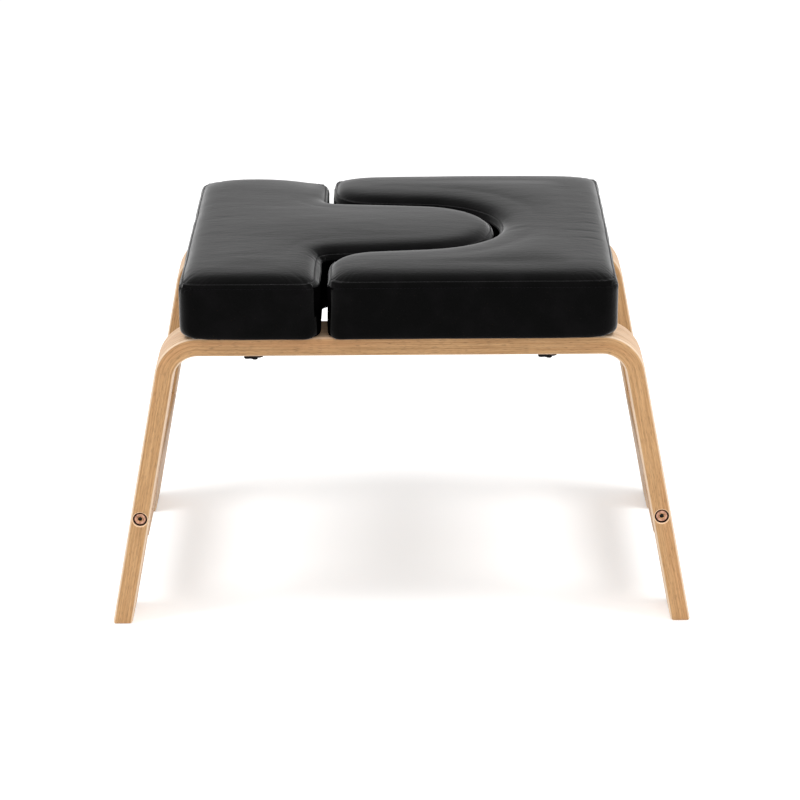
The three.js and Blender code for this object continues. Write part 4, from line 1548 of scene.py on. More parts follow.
@dataclass
class Outline:
    """A ring of points round a pad, at any inset from its edge."""

    corners: tuple[Corner, ...]
    reach: float
    spacing: float
    least_radius: float = 0.7
    least_steps: int = 8

    def __post_init__(self) -> None:
        """Settles how many points each corner and each side have."""
        facts = self.arc_facts(0.0)
        self.arc_steps = [
            max(self.least_steps, math.ceil(abs(sweep) * radius / self.spacing))
            for _, radius, _, sweep in facts
        ]
        arcs = [self.arc(fact, 1) for fact in facts]
        self.side_steps = [
            max(1, math.ceil(np.linalg.norm(after[0] - arc[-1]) / self.spacing))
            for arc, after in zip(arcs, arcs[1:] + arcs[:1])
        ]

    def edges(self, inset: float) -> list[tuple[np.ndarray, np.ndarray, float]]:
        """Each side's direction, its inward normal and how far in it lies."""
        found = []
        for a, b in zip(self.corners, self.corners[1:] + self.corners[:1]):
            along = np.array([b.x - a.x, b.y - a.y])
            along /= np.linalg.norm(along)
            inwards = np.array([-along[1], along[0]])
            found.append((along, inwards, float(inwards @ (a.x, a.y)) + inset))
        return found

    def arc_facts(self, inset: float) -> list[tuple[np.ndarray, float, float, float]]:
        """Each corner's arc at an inset: its middle, radius, first angle and sweep."""
        edges = self.edges(inset)
        facts = []
        for i, corner in enumerate(self.corners):
            (a_along, a_in, a_reach), (b_along, b_in, b_reach) = edges[i - 1], edges[i]
            turn = float(a_along[0] * b_along[1] - a_along[1] * b_along[0])
            if turn > 0:
                eased = corner.radius + (corner.crown_radius - corner.radius) * inset / self.reach
                radius = max(eased, self.least_radius)
            else:
                radius = corner.radius + inset
            reach = radius if turn > 0 else -radius
            centre = np.array([
                ((a_reach + reach) * b_in[1] - (b_reach + reach) * a_in[1]) / turn,
                ((b_reach + reach) * a_in[0] - (a_reach + reach) * b_in[0]) / turn,
            ])
            start = math.atan2(-a_in[1], -a_in[0]) + (0 if turn > 0 else math.pi)
            sweep = math.asin(max(-1.0, min(1.0, turn)))
            whole = sweep if a_along @ b_along >= 0 else math.copysign(math.pi, turn) - sweep
            facts.append((centre, radius, start, whole))
        return facts

    @staticmethod
    def arc(facts: tuple[np.ndarray, float, float, float], steps: int) -> Points:
        """The points of one corner's arc in so many steps."""
        centre, radius, start, sweep = facts
        angles = start + sweep * np.arange(steps + 1) / steps
        return centre + radius * np.column_stack([np.cos(angles), np.sin(angles)])

    def points(self, inset: float) -> Points:
        """The whole ring at an inset, anticlockwise, the same points in the same order at each inset."""
        arcs = [self.arc(fact, steps) for fact, steps in zip(self.arc_facts(inset), self.arc_steps)]
        parts = []
        for arc, after, steps in zip(arcs, arcs[1:] + arcs[:1], self.side_steps):
            shares = np.arange(1, steps)[:, None] / steps
            parts.extend([arc, arc[-1] + (after[0] - arc[-1]) * shares])
        return np.concatenate(parts)

    def corner_indices(self) -> list[int]:
        """The number of the point in the middle of each corner."""
        found, start = [], 0
        for arc, side in zip(self.arc_steps, self.side_steps):
            found.append(start + arc // 2)
            start += arc + side
        return found


def inside_ring(points: Points, ring: Points, margin: float) -> np.ndarray:
    """Which points lie in a ring, at least a margin from its points.

    Args:
        points: the points.
        ring: the ring.
        margin: the distance.

    Returns:
        A truth value for each point.
    """
    after = np.roll(ring, -1, axis=0)
    x, y = points[:, :1], points[:, 1:2]
    spans = (ring[:, 1] > y) != (after[:, 1] > y)
    rise = np.where(after[:, 1] == ring[:, 1], 1e-9, after[:, 1] - ring[:, 1])
    crossing = ring[:, 0] + (y - ring[:, 1]) * (after[:, 0] - ring[:, 0]) / rise
    inside = ((x < crossing) & spans).sum(1) % 2 == 1
    near = np.array([np.min(np.hypot(*(ring - p).T)) for p in points]) < margin
    return inside & ~near


def filling(ring: Points, spacing: float) -> tuple[Points, list[tuple[int, ...]]]:
    """Triangles that fill a ring, with points spread over it.

    Args:
        ring: its points, anticlockwise.
        spacing: the distance between the points inside.

    Returns:
        The points inside, and the triangles, in which the ring's points come first.
    """
    low, high = ring.min(0), ring.max(0)
    rows = []
    for k, y in enumerate(np.arange(low[1] + spacing / 2, high[1], spacing * math.sqrt(3) / 2)):
        xs = np.arange(low[0] + spacing / 2 * (1 + k % 2), high[0], spacing)
        rows.append(np.column_stack([xs, np.full(len(xs), y)]))
    grid = np.concatenate(rows)
    grid = grid[inside_ring(grid, ring, spacing * 0.6)]
    everything = [Vector(p) for p in np.concatenate([ring, grid])]
    count = len(ring)
    sides = [(i, (i + 1) % count) for i in range(count)]
    _, _, triangles, originals, _, _ = delaunay_2d_cdt(everything, sides, [], 1, 1e-7)
    first = [o[0] for o in originals]
    faces = []
    for triangle in triangles:
        a, b, c = (first[i] for i in triangle)
        pa, pb, pc = everything[a], everything[b], everything[c]
        area = (pb - pa).cross(pc - pa)
        faces.append((a, b, c) if area > 0 else (a, c, b))
    return grid, faces


def swelling(ring: int, total: int, faces: Sequence[tuple[int, ...]], rounds: int = 1500) -> np.ndarray:
    """How a stretched skin swells over a ring: 0 at the ring and 1 where it stands highest.

    Args:
        ring: how many of the points, the first ones, are the ring's.
        total: how many points there are.
        faces: the triangles between them.
        rounds: how often each point is set between its neighbours.

    Returns:
        A share for each point inside.
    """
    corners = np.array(faces)
    first = corners[:, [0, 1, 2, 1, 2, 0]].ravel()
    second = corners[:, [1, 2, 0, 0, 1, 2]].ravel()
    neighbours = np.maximum(np.bincount(first, minlength=total), 1)
    height = np.zeros(total)
    for _ in range(rounds):
        height = np.bincount(first, weights=height[second], minlength=total) / neighbours + 1
        height[:ring] = 0
    return height[ring:] / max(height.max(), 1e-9)


def fill(
    mesh: Mesh, numbers: np.ndarray, plan: Points, place: Any, up: bool, spacing: float, dome: float = 0.0
) -> None:
    """Fills a ring of a mesh.

    Args:
        mesh: the mesh.
        numbers: the ring's points in it.
        plan: those points seen from above, before any of them was moved.
        place: makes places of points seen from above.
        up: whether the filling faces up.
        spacing: the distance between the points inside.
        dome: how far it swells.
    """
    grid, faces = filling(plan, spacing)
    places = place(grid)
    if dome:
        places[:, 2] += dome * swelling(len(numbers), len(numbers) + len(grid), faces)
    inner = mesh.add_points(places)
    every = np.concatenate([numbers, inner])
    for face in faces:
        corners = [int(every[i]) for i in face]
        mesh.faces.append(tuple(corners if up else corners[::-1]))


# Rows of small parts along a path


class Facing(Enum):
    """Which way the backs of small bent parts face. Outwards has no direction of its own."""

    OUTWARDS = None
    UPWARDS = (0.0, 0.0, 1.0)
    DOWNWARDS = (0.0, 0.0, -1.0)


@dataclass
class Run:
    """Small bent parts at even steps along a closed path, made by Geometry Nodes."""

    name: str
    finish: Finish
    pitch: float
    length: float
    thickness: float
    rise: float
    sink: float
    turn_spread: float
    facing: Facing
    seed: int
    sides: int = 6
    bends: int = 4

    def tree(self) -> tuple[bpy.types.NodeTree, dict[str, str]]:
        """Builds the node tree.

        Returns:
            The tree and the identifiers of its named inputs.
        """
        tree = bpy.data.node_groups.new(f"{self.name}_run", "GeometryNodeTree")
        lengths = ("Pitch", "Length", "Thickness", "Rise", "Sink", "Turn spread")
        kinds = {
            "Geometry": "Geometry", **dict.fromkeys(lengths, "Float"), "Seed": "Int", "Material": "Material",
        }
        names = {
            name: tree.interface.new_socket(name, in_out="INPUT", socket_type=f"NodeSocket{kind}").identifier
            for name, kind in kinds.items()
        }
        tree.interface.new_socket("Geometry", in_out="OUTPUT", socket_type="NodeSocketGeometry")
        nodes = Nodes(tree)
        given = nodes.add("NodeGroupInput").outputs
        path = nodes.add("GeometryNodeMeshToCurve", sockets={"Mesh": given["Geometry"]})
        spaced = nodes.add(
            "GeometryNodeResampleCurve", {"mode": "LENGTH"},
            {"Curve": path.outputs[0], "Length": given["Pitch"]},
        )
        half = nodes.number(given["Length"]) * 0.5
        low = nodes.number(given["Sink"]) * -1.0
        arch = nodes.add(
            "GeometryNodeCurveQuadraticBezier",
            sockets={
                "Resolution": self.bends,
                "Start": nodes.join(half * -1.0, 0.0, low),
                "Middle": nodes.join(0.0, 0.0, nodes.number(given["Rise"])),
                "End": nodes.join(half, 0.0, low),
            },
        )
        ring = nodes.add(
            "GeometryNodeCurvePrimitiveCircle",
            sockets={"Resolution": self.sides, "Radius": nodes.number(given["Thickness"]) * 0.5},
        )
        part = nodes.add(
            "GeometryNodeCurveToMesh",
            sockets={"Curve": arch.outputs[0], "Profile Curve": ring.outputs[0], "Fill Caps": True},
        )
        tangent = nodes.add("GeometryNodeInputTangent").outputs[0]
        upright = (0.0, 0.0, 1.0)
        cross = nodes.add("ShaderNodeVectorMath", {"operation": "CROSS_PRODUCT"}, {0: tangent, 1: upright})
        out = self.facing.value or cross.outputs[0]
        facing = nodes.add(
            "FunctionNodeAxesToRotation", {"primary_axis": "X", "secondary_axis": "Z"},
            {"Primary Axis": tangent, "Secondary Axis": out},
        )
        spread = nodes.number(given["Turn spread"])
        chance = nodes.add(
            "FunctionNodeRandomValue", {"data_type": "FLOAT"},
            {"Min": spread * -1.0, "Max": spread, "Seed": given["Seed"]},
        )
        wobble = nodes.join(0.0, 0.0, nodes.number(chance.outputs[1]))
        turn = nodes.add("FunctionNodeEulerToRotation", sockets={0: wobble})
        facing = nodes.add(
            "FunctionNodeRotateRotation", {"rotation_space": "LOCAL"},
            {0: facing.outputs[0], 1: turn.outputs[0]},
        )
        placed = nodes.add(
            "GeometryNodeInstanceOnPoints",
            sockets={"Points": spaced.outputs[0], "Instance": part.outputs[0], "Rotation": facing.outputs[0]},
        )
        real = nodes.add("GeometryNodeRealizeInstances", sockets={0: placed.outputs[0]})
        dressed = nodes.add(
            "GeometryNodeSetMaterial", sockets={"Geometry": real.outputs[0], "Material": given["Material"]}
        )
        nodes.add("NodeGroupOutput", sockets={0: dressed.outputs[0]})
        return tree, names

    def build(self, path: Points) -> bpy.types.Object:
        """Makes the run.

        Args:
            path: the closed path's points, anticlockwise seen from above.

        Returns:
            The piece, as a plain mesh.
        """
        mesh = bpy.data.meshes.new(self.name)
        count = len(path)
        mesh.from_pydata((path * MM).tolist(), [(i, (i + 1) % count) for i in range(count)], [])
        piece = added(self.name, mesh)
        tree, names = self.tree()
        modifier = piece.modifiers.new("run", "NODES")
        modifier.node_group = tree
        sizes = {
            "Pitch": self.pitch * MM, "Length": self.length * MM, "Thickness": self.thickness * MM,
            "Rise": self.rise * MM, "Sink": self.sink * MM, "Turn spread": self.turn_spread,
            "Seed": self.seed, "Material": self.finish.material(),
        }
        for name, value in sizes.items():
            modifier[names[name]] = value
        applied(piece)
        smooth(piece, 60.0)
        return piece


# The seat's pads


@dataclass
class Pad:
    """One pad of the seat: its sewn cover, foam, lining, stitches and staples."""

    name: str
    body: str
    corners: tuple[Corner, ...]
    other_corners: tuple[Corner, ...]
    crown: Crown
    strip: float
    droops: tuple[Droop, ...]
    creases: tuple[Crease, ...]
    stud_side: int
    layout: Layout
    seed: float
    reach: float
    bottom: float = 312.9
    band: float = 52.4
    seam_inset: float = 4.3
    seam_lift: float = 0.3
    foot_round: float = 4.0
    wall: float = 1.4
    margin: float = 20.0
    spacing: float = 2.4
    pucker: float = 0.5
    pucker_pitch: float = 3.7
    pucker_reach: float = 24.0
    sag: float = 0.4
    overhang: float = 4.6
    hang: float = 1.6
    outer_round: float = 8.5
    squareness: float = 2.0
    corner_softness: float = 8.0
    knot: float = 1.1
    shut: float = 42.0
    open_ends: float = 5.0
    crown_steps: int = 26
    nut_hole: float = 8.9
    # Where the inner skins start to rise, past the seam's inset, and how far apart their points are.
    inner_step: float = 1.6
    foam_step: float = 1.9
    edge_spacing: float = 3.0
    block_spacing: float = 5.0
    # Where a droop sets in under the stitches, and which corners are the pad's sharp outer ones.
    drop_lead: float = 8.0
    tight_corner: float = 30.0
    middle_zone: float = 150.0
    # The cover's foot: how it is pulled in, squared and hung over the bars near the corners.
    foot_reach: float = 30.0
    foot_pull: float = 0.75
    foot_pull_across: float = 0.5
    square_reach: float = 18.0
    square_height: float = 32.0
    square_inset: float = 0.4
    hang_reach: float = 1.6
    hang_height: float = 9.0
    # How far corners soften the distance from the edge, and over which strip that is worked out.
    softened: float = 0.75
    probe_depth: float = 90.0
    probe_side: float = 160.0
    # The gathered leather: where it fades, its waves, its unevenness and the knots at the corners.
    gather_inset: float = 13.0
    gather_below: float = 7.0
    gather_lean: float = 0.1
    gather_lift: float = 0.6
    lift_under_seam: float = 0.3
    slip: float = 2.5
    slip_scale: float = 0.09
    uneven_scale: float = 0.035
    uneven_rise: float = 0.03
    uneven_gathered: float = 0.35
    uneven_plain: float = 0.25
    uneven_inset: float = 30.0
    most_push: float = 0.6
    knot_reach: float = 3.2
    knot_below: float = 1.4
    knot_height: float = 1.6
    knot_lift: float = 0.5
    # The top's slow sag and its fainter ripple.
    sag_scale: float = 0.013
    ripple: float = 0.12
    ripple_scales: tuple[float, float] = (0.02, 0.07)
    # The underside and the blocks inside.
    staple_inset: float = 8.0
    lining_thickness: float = 0.8
    lining_waves: float = 0.12
    lining_scale: float = 0.03
    board_edge: float = 0.5
    pocket: float = 10.3

    @property
    def stitch_height(self) -> float:
        """The lower row's height."""
        return self.bottom + self.band

    @property
    def seam_height(self) -> float:
        """The upper seam's height."""
        return self.stitch_height + self.strip

    @property
    def inner_start(self) -> float:
        """How far in the cover's inner side starts to rise."""
        return self.seam_inset + self.inner_step

    def outline(self, spacing: float) -> Outline:
        """The pad's outline, its points about as far apart as said."""
        return Outline(self.corners, self.reach, spacing)

    def lowered(self, points: Points) -> Points:
        """Lets the crown and the seam come down where they droop."""
        made = points.copy()
        above = np.maximum(points[:, 2] - self.seam_height, 0)
        on_strip = np.clip(
            (points[:, 2] - self.stitch_height + self.drop_lead) / (self.strip + self.drop_lead), 0, 1
        )
        over_stitches = np.clip((points[:, 2] - self.stitch_height) / self.strip, 0, 1)
        keep = np.ones(len(points))
        drop = np.zeros(len(points))
        for droop in self.droops:
            near = np.exp(-((points[:, 0] - droop.x) ** 2 + (points[:, 1] - droop.y) ** 2) / droop.reach**2)
            keep *= 1 - droop.crown_share * near
            drop += droop.seam_drop * near
            made[:, 0] += droop.aside * near * over_stitches
        made[:, 2] -= above * (1 - keep) + drop * on_strip
        return made

    def eased(self, points: Points) -> Points:
        """Rounds the foot at the outer corners and lets the cover hang over the bars' outer faces."""
        made = points.copy()
        over_foot = points[:, 2] - self.bottom
        for corner in self.corners:
            if corner.radius > self.tight_corner or abs(corner.y) < self.middle_zone:
                continue
            away = (points[:, 0] - corner.x) ** 2 + (points[:, 1] - corner.y) ** 2
            if abs(corner.x) < self.middle_zone:
                near = np.exp(-away / self.square_reach**2)
                low = np.clip(1 - over_foot / self.square_height, 0, 1) * near * self.squareness
                inside = self.stud_side * (made[:, 0] - corner.x) + self.square_inset
                made[:, 0] -= self.stud_side * np.clip(inside, 0, low)
                made[:, 1] += np.sign(corner.y) * np.clip(abs(corner.y) - np.abs(made[:, 1]), 0, low)
                continue
            near = np.exp(-away / self.foot_reach**2)
            low = np.clip(self.outer_round - over_foot, 0, self.outer_round)
            pull = self.foot_pull * (self.outer_round - np.sqrt(self.outer_round**2 - low**2)) * near
            made[:, 0] -= np.sign(corner.x) * pull
            made[:, 1] -= np.sign(corner.y) * pull * self.foot_pull_across
        edge = np.abs(made[:, 1]) - (-self.corners[0].y - self.overhang)
        over = np.clip(edge / self.hang_reach, 0, 1) * np.clip(1 - over_foot / self.hang_height, 0, 1)
        made[:, 2] -= self.hang * over
        return made

    def crown_rings(self, depth: float, start: float, count: int) -> Profile:
        """The crown's profile from where it is full down to the seam."""
        rings = []
        for i in range(count, 0, -1):
            inwards = (i / count) ** 1.5 * (self.reach - start)
            height = self.seam_height + self.seam_lift + self.crown.rise(inwards) - depth
            rings.append((start + inwards, height))
        return rings

    def inwards(self, flat: Points) -> np.ndarray:
        """How far in points lie from the pad's edge, less where two sides meet.

        Args:
            flat: the points seen from above.

        Returns:
            Their distances.
        """
        edge = self.outline(self.edge_spacing).points(0.0)
        lengths = np.linalg.norm(np.roll(edge, -1, axis=0) - np.roll(edge, 1, axis=0), axis=1) / 2
        away = np.linspace(0.05, self.probe_depth, 300)
        along = np.linspace(-self.probe_side, self.probe_side, 641)
        straight = np.exp(-np.hypot(away[:, None], along[None, :]) / self.corner_softness).sum(1) * 0.5
        gaps = np.linalg.norm(flat[:, None, :] - edge[None, :, :], axis=2)
        found = (np.exp(-gaps / self.corner_softness) * lengths[None, :]).sum(1)
        soft = np.interp(-np.log(found), -np.log(straight), away)
        return (1 - self.softened) * gaps.min(1) + self.softened * soft

    def crown_heights(self, flat: Points, depth: float, start: float) -> np.ndarray:
        """The heights of a skin of the crown.

        Args:
            flat: the points seen from above.
            depth: how deep under the leather's top the skin lies.
            start: how far in it starts to rise.

        Returns:
            A height for each point.
        """
        inwards = np.maximum(self.inwards(flat) - start, 0)
        return self.seam_height + self.seam_lift + self.crown.rise(inwards) - depth

    def ring(self, flat: Points, height: float, depth: float, start: float) -> Points:
        """A ring's places, which follow the crown's rounded corners where they are on the crown.

        Args:
            flat: the points seen from above.
            height: the ring's height.
            depth: how deep under the leather's top its skin lies.
            start: how far in that skin starts to rise.

        Returns:
            The places.
        """
        heights = np.full(len(flat), height)
        if height + depth > self.seam_height + self.seam_lift + 1e-6:
            heights = self.crown_heights(flat, depth, start)
        return self.lowered(np.column_stack([flat, heights]))

    def top(self, depth: float, start: float) -> Any:
        """Makes places on a skin of the crown from points seen from above."""
        return lambda points: self.settled(
            self.lowered(np.column_stack([points, self.crown_heights(points, depth, start)]))
        )

    def outside(self) -> Profile:
        """The cover's profile from the crown down to the edge of the margin under the board."""
        seam, stitch, low = self.seam_height, self.stitch_height, self.bottom
        rolled = [
            (4.1, seam + 0.1), (3.85, seam - 0.15), (3.6, seam - 0.12), (3.3, seam - 0.17), (3.0, seam - 0.3),
            (2.7, seam - 0.48), (2.45, seam - 0.7), (2.3, seam - 0.95), (2.28, seam - 1.15),
        ]
        fall = self.strip - 2.1
        strip = [(2.25 - 1.2 * k, seam - 1.2 - fall * k) for k in (0.2, 0.45, 0.7, 1.0)]
        stitched = [(1.05, stitch + 0.55), (1.2, stitch + 0.2), (1.15, stitch - 0.2), (0.8, stitch - 0.6)]
        top = [(0.4, stitch - 1.1), (0.15, stitch - 2.0), (0.0, stitch - 3.6), (0.0, stitch - 6.0)]
        band = [(0.0, stitch - self.band * k / 12) for k in range(2, 10)]
        foot = [(0.05, low + 10.0), (0.2, low + 7.0), (0.45, low + 4.6), (0.8, low + 2.8), (1.3, low + 1.4)]
        foot += [(2.0, low + 0.5), (2.9, low + 0.1)]
        under = [(4.2, low), (5.4, low), (8.0, low), (12.0, low), (16.0, low), (self.margin - 0.3, low)]
        crown = self.crown_rings(0.0, self.seam_inset, self.crown_steps)
        return crown + rolled + strip + stitched + top + band + foot + under

    def inside(self) -> Profile:
        """The profile of the cover's inner side, from the margin's edge up to the crown."""
        low, start = self.bottom + self.wall, self.inner_start
        crown = self.crown_rings(self.wall, start, 9)[::-1]
        return [
            (self.margin, self.bottom + 0.3), (self.margin, low - 0.2), (self.margin - 0.2, low), (12.0, low),
            (self.foot_round, low), (self.foot_round, low + 12), (self.foot_round, self.stitch_height),
            (start, self.seam_height - self.wall), *crown,
        ]

    def liveliness(self, ring: Points, plan: Points, arc: np.ndarray, inset: float, height: float) -> Points:
        """Gathers the leather at the corners and lets it lie a little unevenly elsewhere.

        Args:
            ring: the ring's places.
            plan: the pad's edge seen from above.
            arc: how far along the edge each point is.
            inset: how far in the ring is.
            height: its height before it was lowered.

        Returns:
            The ring's new places.
        """
        made = ring.copy()
        along = np.roll(plan, -1, axis=0) - np.roll(plan, 1, axis=0)
        along /= np.maximum(np.linalg.norm(along, axis=1, keepdims=True), 1e-9)
        outward = np.column_stack([along[:, 1], -along[:, 0]])
        total = arc[-1] + self.spacing
        below = max(0.0, self.stitch_height - height)
        weight = math.exp(-((inset / self.gather_inset) ** 2)) * math.exp(-((below / self.gather_below) ** 2))
        gather, knots = np.zeros(len(ring)), np.zeros(len(ring))
        for place in self.pucker_places():
            away = (arc - arc[place] + total / 2) % total - total / 2
            slips = [noise.noise(Vector((a * self.slip_scale, self.seed, 1.0))) for a in away]
            turn = 2 * math.pi * (away + self.slip * np.array(slips)) / self.pucker_pitch
            gather += np.exp(-((away / self.pucker_reach) ** 2)) * np.sin(turn + inset * self.gather_lean)
            knots += np.exp(-((away / self.knot_reach) ** 2))
        at_height = self.seed + height * self.uneven_rise
        uneven = np.array([
            noise.noise(Vector((x * self.uneven_scale, y * self.uneven_scale, at_height))) for x, y, _ in ring
        ])
        push = weight * (self.pucker * gather + self.uneven_gathered * uneven)
        push = push + self.uneven_plain * uneven * math.exp(-inset / self.uneven_inset)
        level_off = math.exp(-(((height - self.seam_height + self.knot_below) / self.knot_height) ** 2))
        bulge = self.knot * level_off * knots
        made[:, :2] += outward * (np.minimum(push, self.most_push) + bulge)[:, None]
        share = 1 if height > self.seam_height - 0.2 else self.lift_under_seam
        made[:, 2] += weight * self.gather_lift * self.pucker * gather * share + self.knot_lift * bulge
        return made

    def pucker_places(self) -> list[int]:
        """The points in the middle of the corners where the leather is gathered."""
        marks = self.outline(self.spacing).corner_indices()
        return [i for i, corner in zip(marks, self.corners) if corner.radius < self.tight_corner]

    def settled(self, points: Points) -> Points:
        """Lets the top lie unevenly over the foam, most at its middle, with faint creases."""
        made = points.copy()
        full = self.crown.roll + self.crown.slope
        along, across = self.ripple_scales
        for i, (x, y, z) in enumerate(points):
            share = min(max((z - self.seam_height - self.seam_lift) / full, 0.0), 1.0)
            if share <= 0:
                continue
            broad = noise.noise(Vector((x * self.sag_scale, y * self.sag_scale, self.seed)))
            ripple = noise.noise(Vector((x * along + self.seed, y * across, 4.0)))
            sink = sum(crease.sink(x, y) for crease in self.creases)
            made[i, 2] += share * (self.sag * broad + self.ripple * ripple - sink)
        return made

    def shut_in(self, places: Points) -> np.ndarray:
        """Which places lie on the walls between the pads, which get the painted shade."""
        other = Outline(self.other_corners, self.reach, self.edge_spacing).points(0.0)
        inside = (places[:, 2] > self.bottom + 0.2) & (places[:, 2] < self.stitch_height - 1.0)
        inside &= np.abs(places[:, 1]) < -self.corners[0].y - self.open_ends
        for number in np.flatnonzero(inside):
            gaps = np.hypot(other[:, 0] - places[number, 0], other[:, 1] - places[number, 1])
            inside[number] = gaps.min() < self.shut
        return inside

    def cover(self) -> tuple[bpy.types.Object, dict[str, Points]]:
        """Makes the sewn cover.

        Returns:
            The piece, and the paths of its stitches and staples.
        """
        outline = self.outline(self.spacing)
        plan = outline.points(0.0)
        steps = np.linalg.norm(np.roll(plan, -1, axis=0) - plan, axis=1)
        arc = np.concatenate([[0.0], np.cumsum(steps)[:-1]])
        outside, inside = self.outside(), self.inside()
        mesh = Mesh()
        rings = []
        for k, (inset, height) in enumerate(outside + inside):
            flat = outline.points(inset)
            if k < len(outside):
                ring = self.ring(flat, height, 0.0, self.seam_inset)
                ring = self.eased(self.liveliness(ring, plan, arc, inset, height))
            else:
                ring = self.ring(flat, height, self.wall, self.inner_start)
            rings.append(self.settled(ring))
        numbers = mesh.loft(rings)
        full = outline.points(self.reach)
        fill(mesh, numbers[0], full, self.top(0.0, self.seam_inset), True, 5.0, self.crown.dome)
        fill(mesh, numbers[-1], full, self.top(self.wall, self.inner_start), False, 9.0, self.crown.dome)
        piece = mesh.finished(f"{self.name}_leather", LEATHER, 50.0)
        # The walls between the pads get this shaded copy of the leather.
        repaint(piece, GAP_SHADE_LEATHER, self.shut_in)
        stitch_row = next(k for k, (_, z) in enumerate(outside) if abs(z - self.stitch_height + 0.2) < 1e-6)
        seam_row = self.crown_steps + 1
        staples = outline.points(self.margin - self.staple_inset)
        return piece, {
            "stitches": (rings[stitch_row] + rings[stitch_row - 1]) / 2,
            "seam_stitches": rings[seam_row],
            "staples": level(staples, self.bottom),
        }

    def studs(self) -> list[tuple[float, float]]:
        """Where the pad's screws stand."""
        return [self.layout.knob_place(self.stud_side, end) for end in ENDS.values()]

    def bored(
        self, piece: bpy.types.Object, profile: Profile, height: float, finish: Finish,
        sides: int = 48, sharp: float = 50.0,
    ) -> bpy.types.Object:
        """Cuts a hole for each of the pad's screws.

        Args:
            piece: the piece.
            profile: the hole's profile from the top down.
            height: where the profile's height 0 is.
            finish: the piece's finish.
            sides: how many sides the hole has.
            sharp: the angle in degrees from which an edge shows as sharp.

        Returns:
            The piece.
        """
        cut(piece, [
            turned(profile, sides, Matrix.Translation((x, y, height))).finished("bore_tool", finish)
            for x, y in self.studs()
        ], sharp)
        return piece

    def foam(self) -> bpy.types.Object:
        """Makes the foam block with pockets for the tee nuts.

        Returns:
            The piece.
        """
        outline = self.outline(self.block_spacing)
        depth, start = self.wall + self.layout.gap, self.seam_inset + self.foam_step
        side = self.foot_round + self.layout.gap
        low = self.layout.board_top + self.layout.gap
        profile = self.crown_rings(depth, start, 8) + [
            (start, self.seam_height - depth), (side, self.stitch_height - self.layout.gap),
            (side, (self.stitch_height + low) / 2), (side, low),
        ]
        mesh = Mesh()
        numbers = mesh.loft([
            self.settled(self.ring(outline.points(inset), height, depth, start)) for inset, height in profile
        ])
        fill(mesh, numbers[0], outline.points(self.reach), self.top(depth, start), True, 9.0, self.crown.dome)
        fill(mesh, numbers[-1], outline.points(side), lambda points: level(points, low), False, 16.0)
        piece = mesh.finished(f"{self.name}_foam_block", FOAM, 50.0)
        stud = self.layout.stud_hole / 2
        pocket = [(stud, 4.5), (stud, 2.0), (self.pocket, 2.0), (self.pocket, -3.0)]
        return self.bored(piece, pocket, self.layout.board_top, FOAM)

    def board(self) -> bpy.types.Object:
        """Makes the plywood board with its holes for the tee nuts.

        Returns:
            The piece.
        """
        outline = self.outline(self.block_spacing)
        top, bottom = self.layout.board_top, self.bottom + self.wall + self.layout.gap
        inset, edge = self.foot_round + self.layout.gap, self.board_edge
        rings = [(inset + edge, top), (inset, top - edge), (inset, bottom + edge), (inset + edge, bottom)]
        mesh = Mesh()
        numbers = mesh.loft([level(outline.points(place), height) for place, height in rings])
        flat = outline.points(inset + edge)
        fill(mesh, numbers[0], flat, lambda points: level(points, top), True, 24.0)
        fill(mesh, numbers[-1], flat, lambda points: level(points, bottom), False, 24.0)
        piece = mesh.finished(f"{self.name}_plywood", PLYWOOD)
        bore = [(self.nut_hole / 2, 2.0), (self.nut_hole / 2, bottom - top - 2.0)]
        return self.bored(piece, bore, top, PLYWOOD, sharp=35.0)

    def lining(self) -> tuple[bpy.types.Object, tuple[float, float], float]:
        """Makes the cloth under the board.

        Returns:
            The piece, its flat size and its flat area, in metres.
        """
        top = self.bottom + self.wall
        flat = self.outline(4.0).points(self.margin + self.layout.gap)

        def at(height: float) -> Any:
            """Makes places at a height, a little uneven, of points seen from above."""
            def place(points: Points) -> Points:
                """The places."""
                waves = [noise.noise(Vector((x * self.lining_scale, y * self.lining_scale, self.seed)))
                         for x, y in points]
                return np.column_stack([points, height + self.lining_waves * np.array(waves)])
            return place

        upper, lower = at(top - 0.15), at(top - self.lining_thickness)
        mesh = Mesh()
        numbers = mesh.loft([upper(flat), lower(flat)])
        fill(mesh, numbers[0], flat, upper, True, 6.0)
        fill(mesh, numbers[-1], flat, lower, False, 6.0)
        piece = mesh.finished(f"{self.name}_lining_cloth", LINING, 50.0)
        bore = [(self.layout.stud_hole / 2, 4.0), (self.layout.stud_hole / 2, -4.0)]
        self.bored(piece, bore, top, LINING, sides=40)
        after = np.roll(flat, -1, axis=0)
        area = abs(float((flat[:, 0] * after[:, 1] - flat[:, 1] * after[:, 0]).sum()) / 2) * MM * MM
        size = (flat.max(0) - flat.min(0)) * MM
        return piece, (float(size[0]), float(size[1])), area

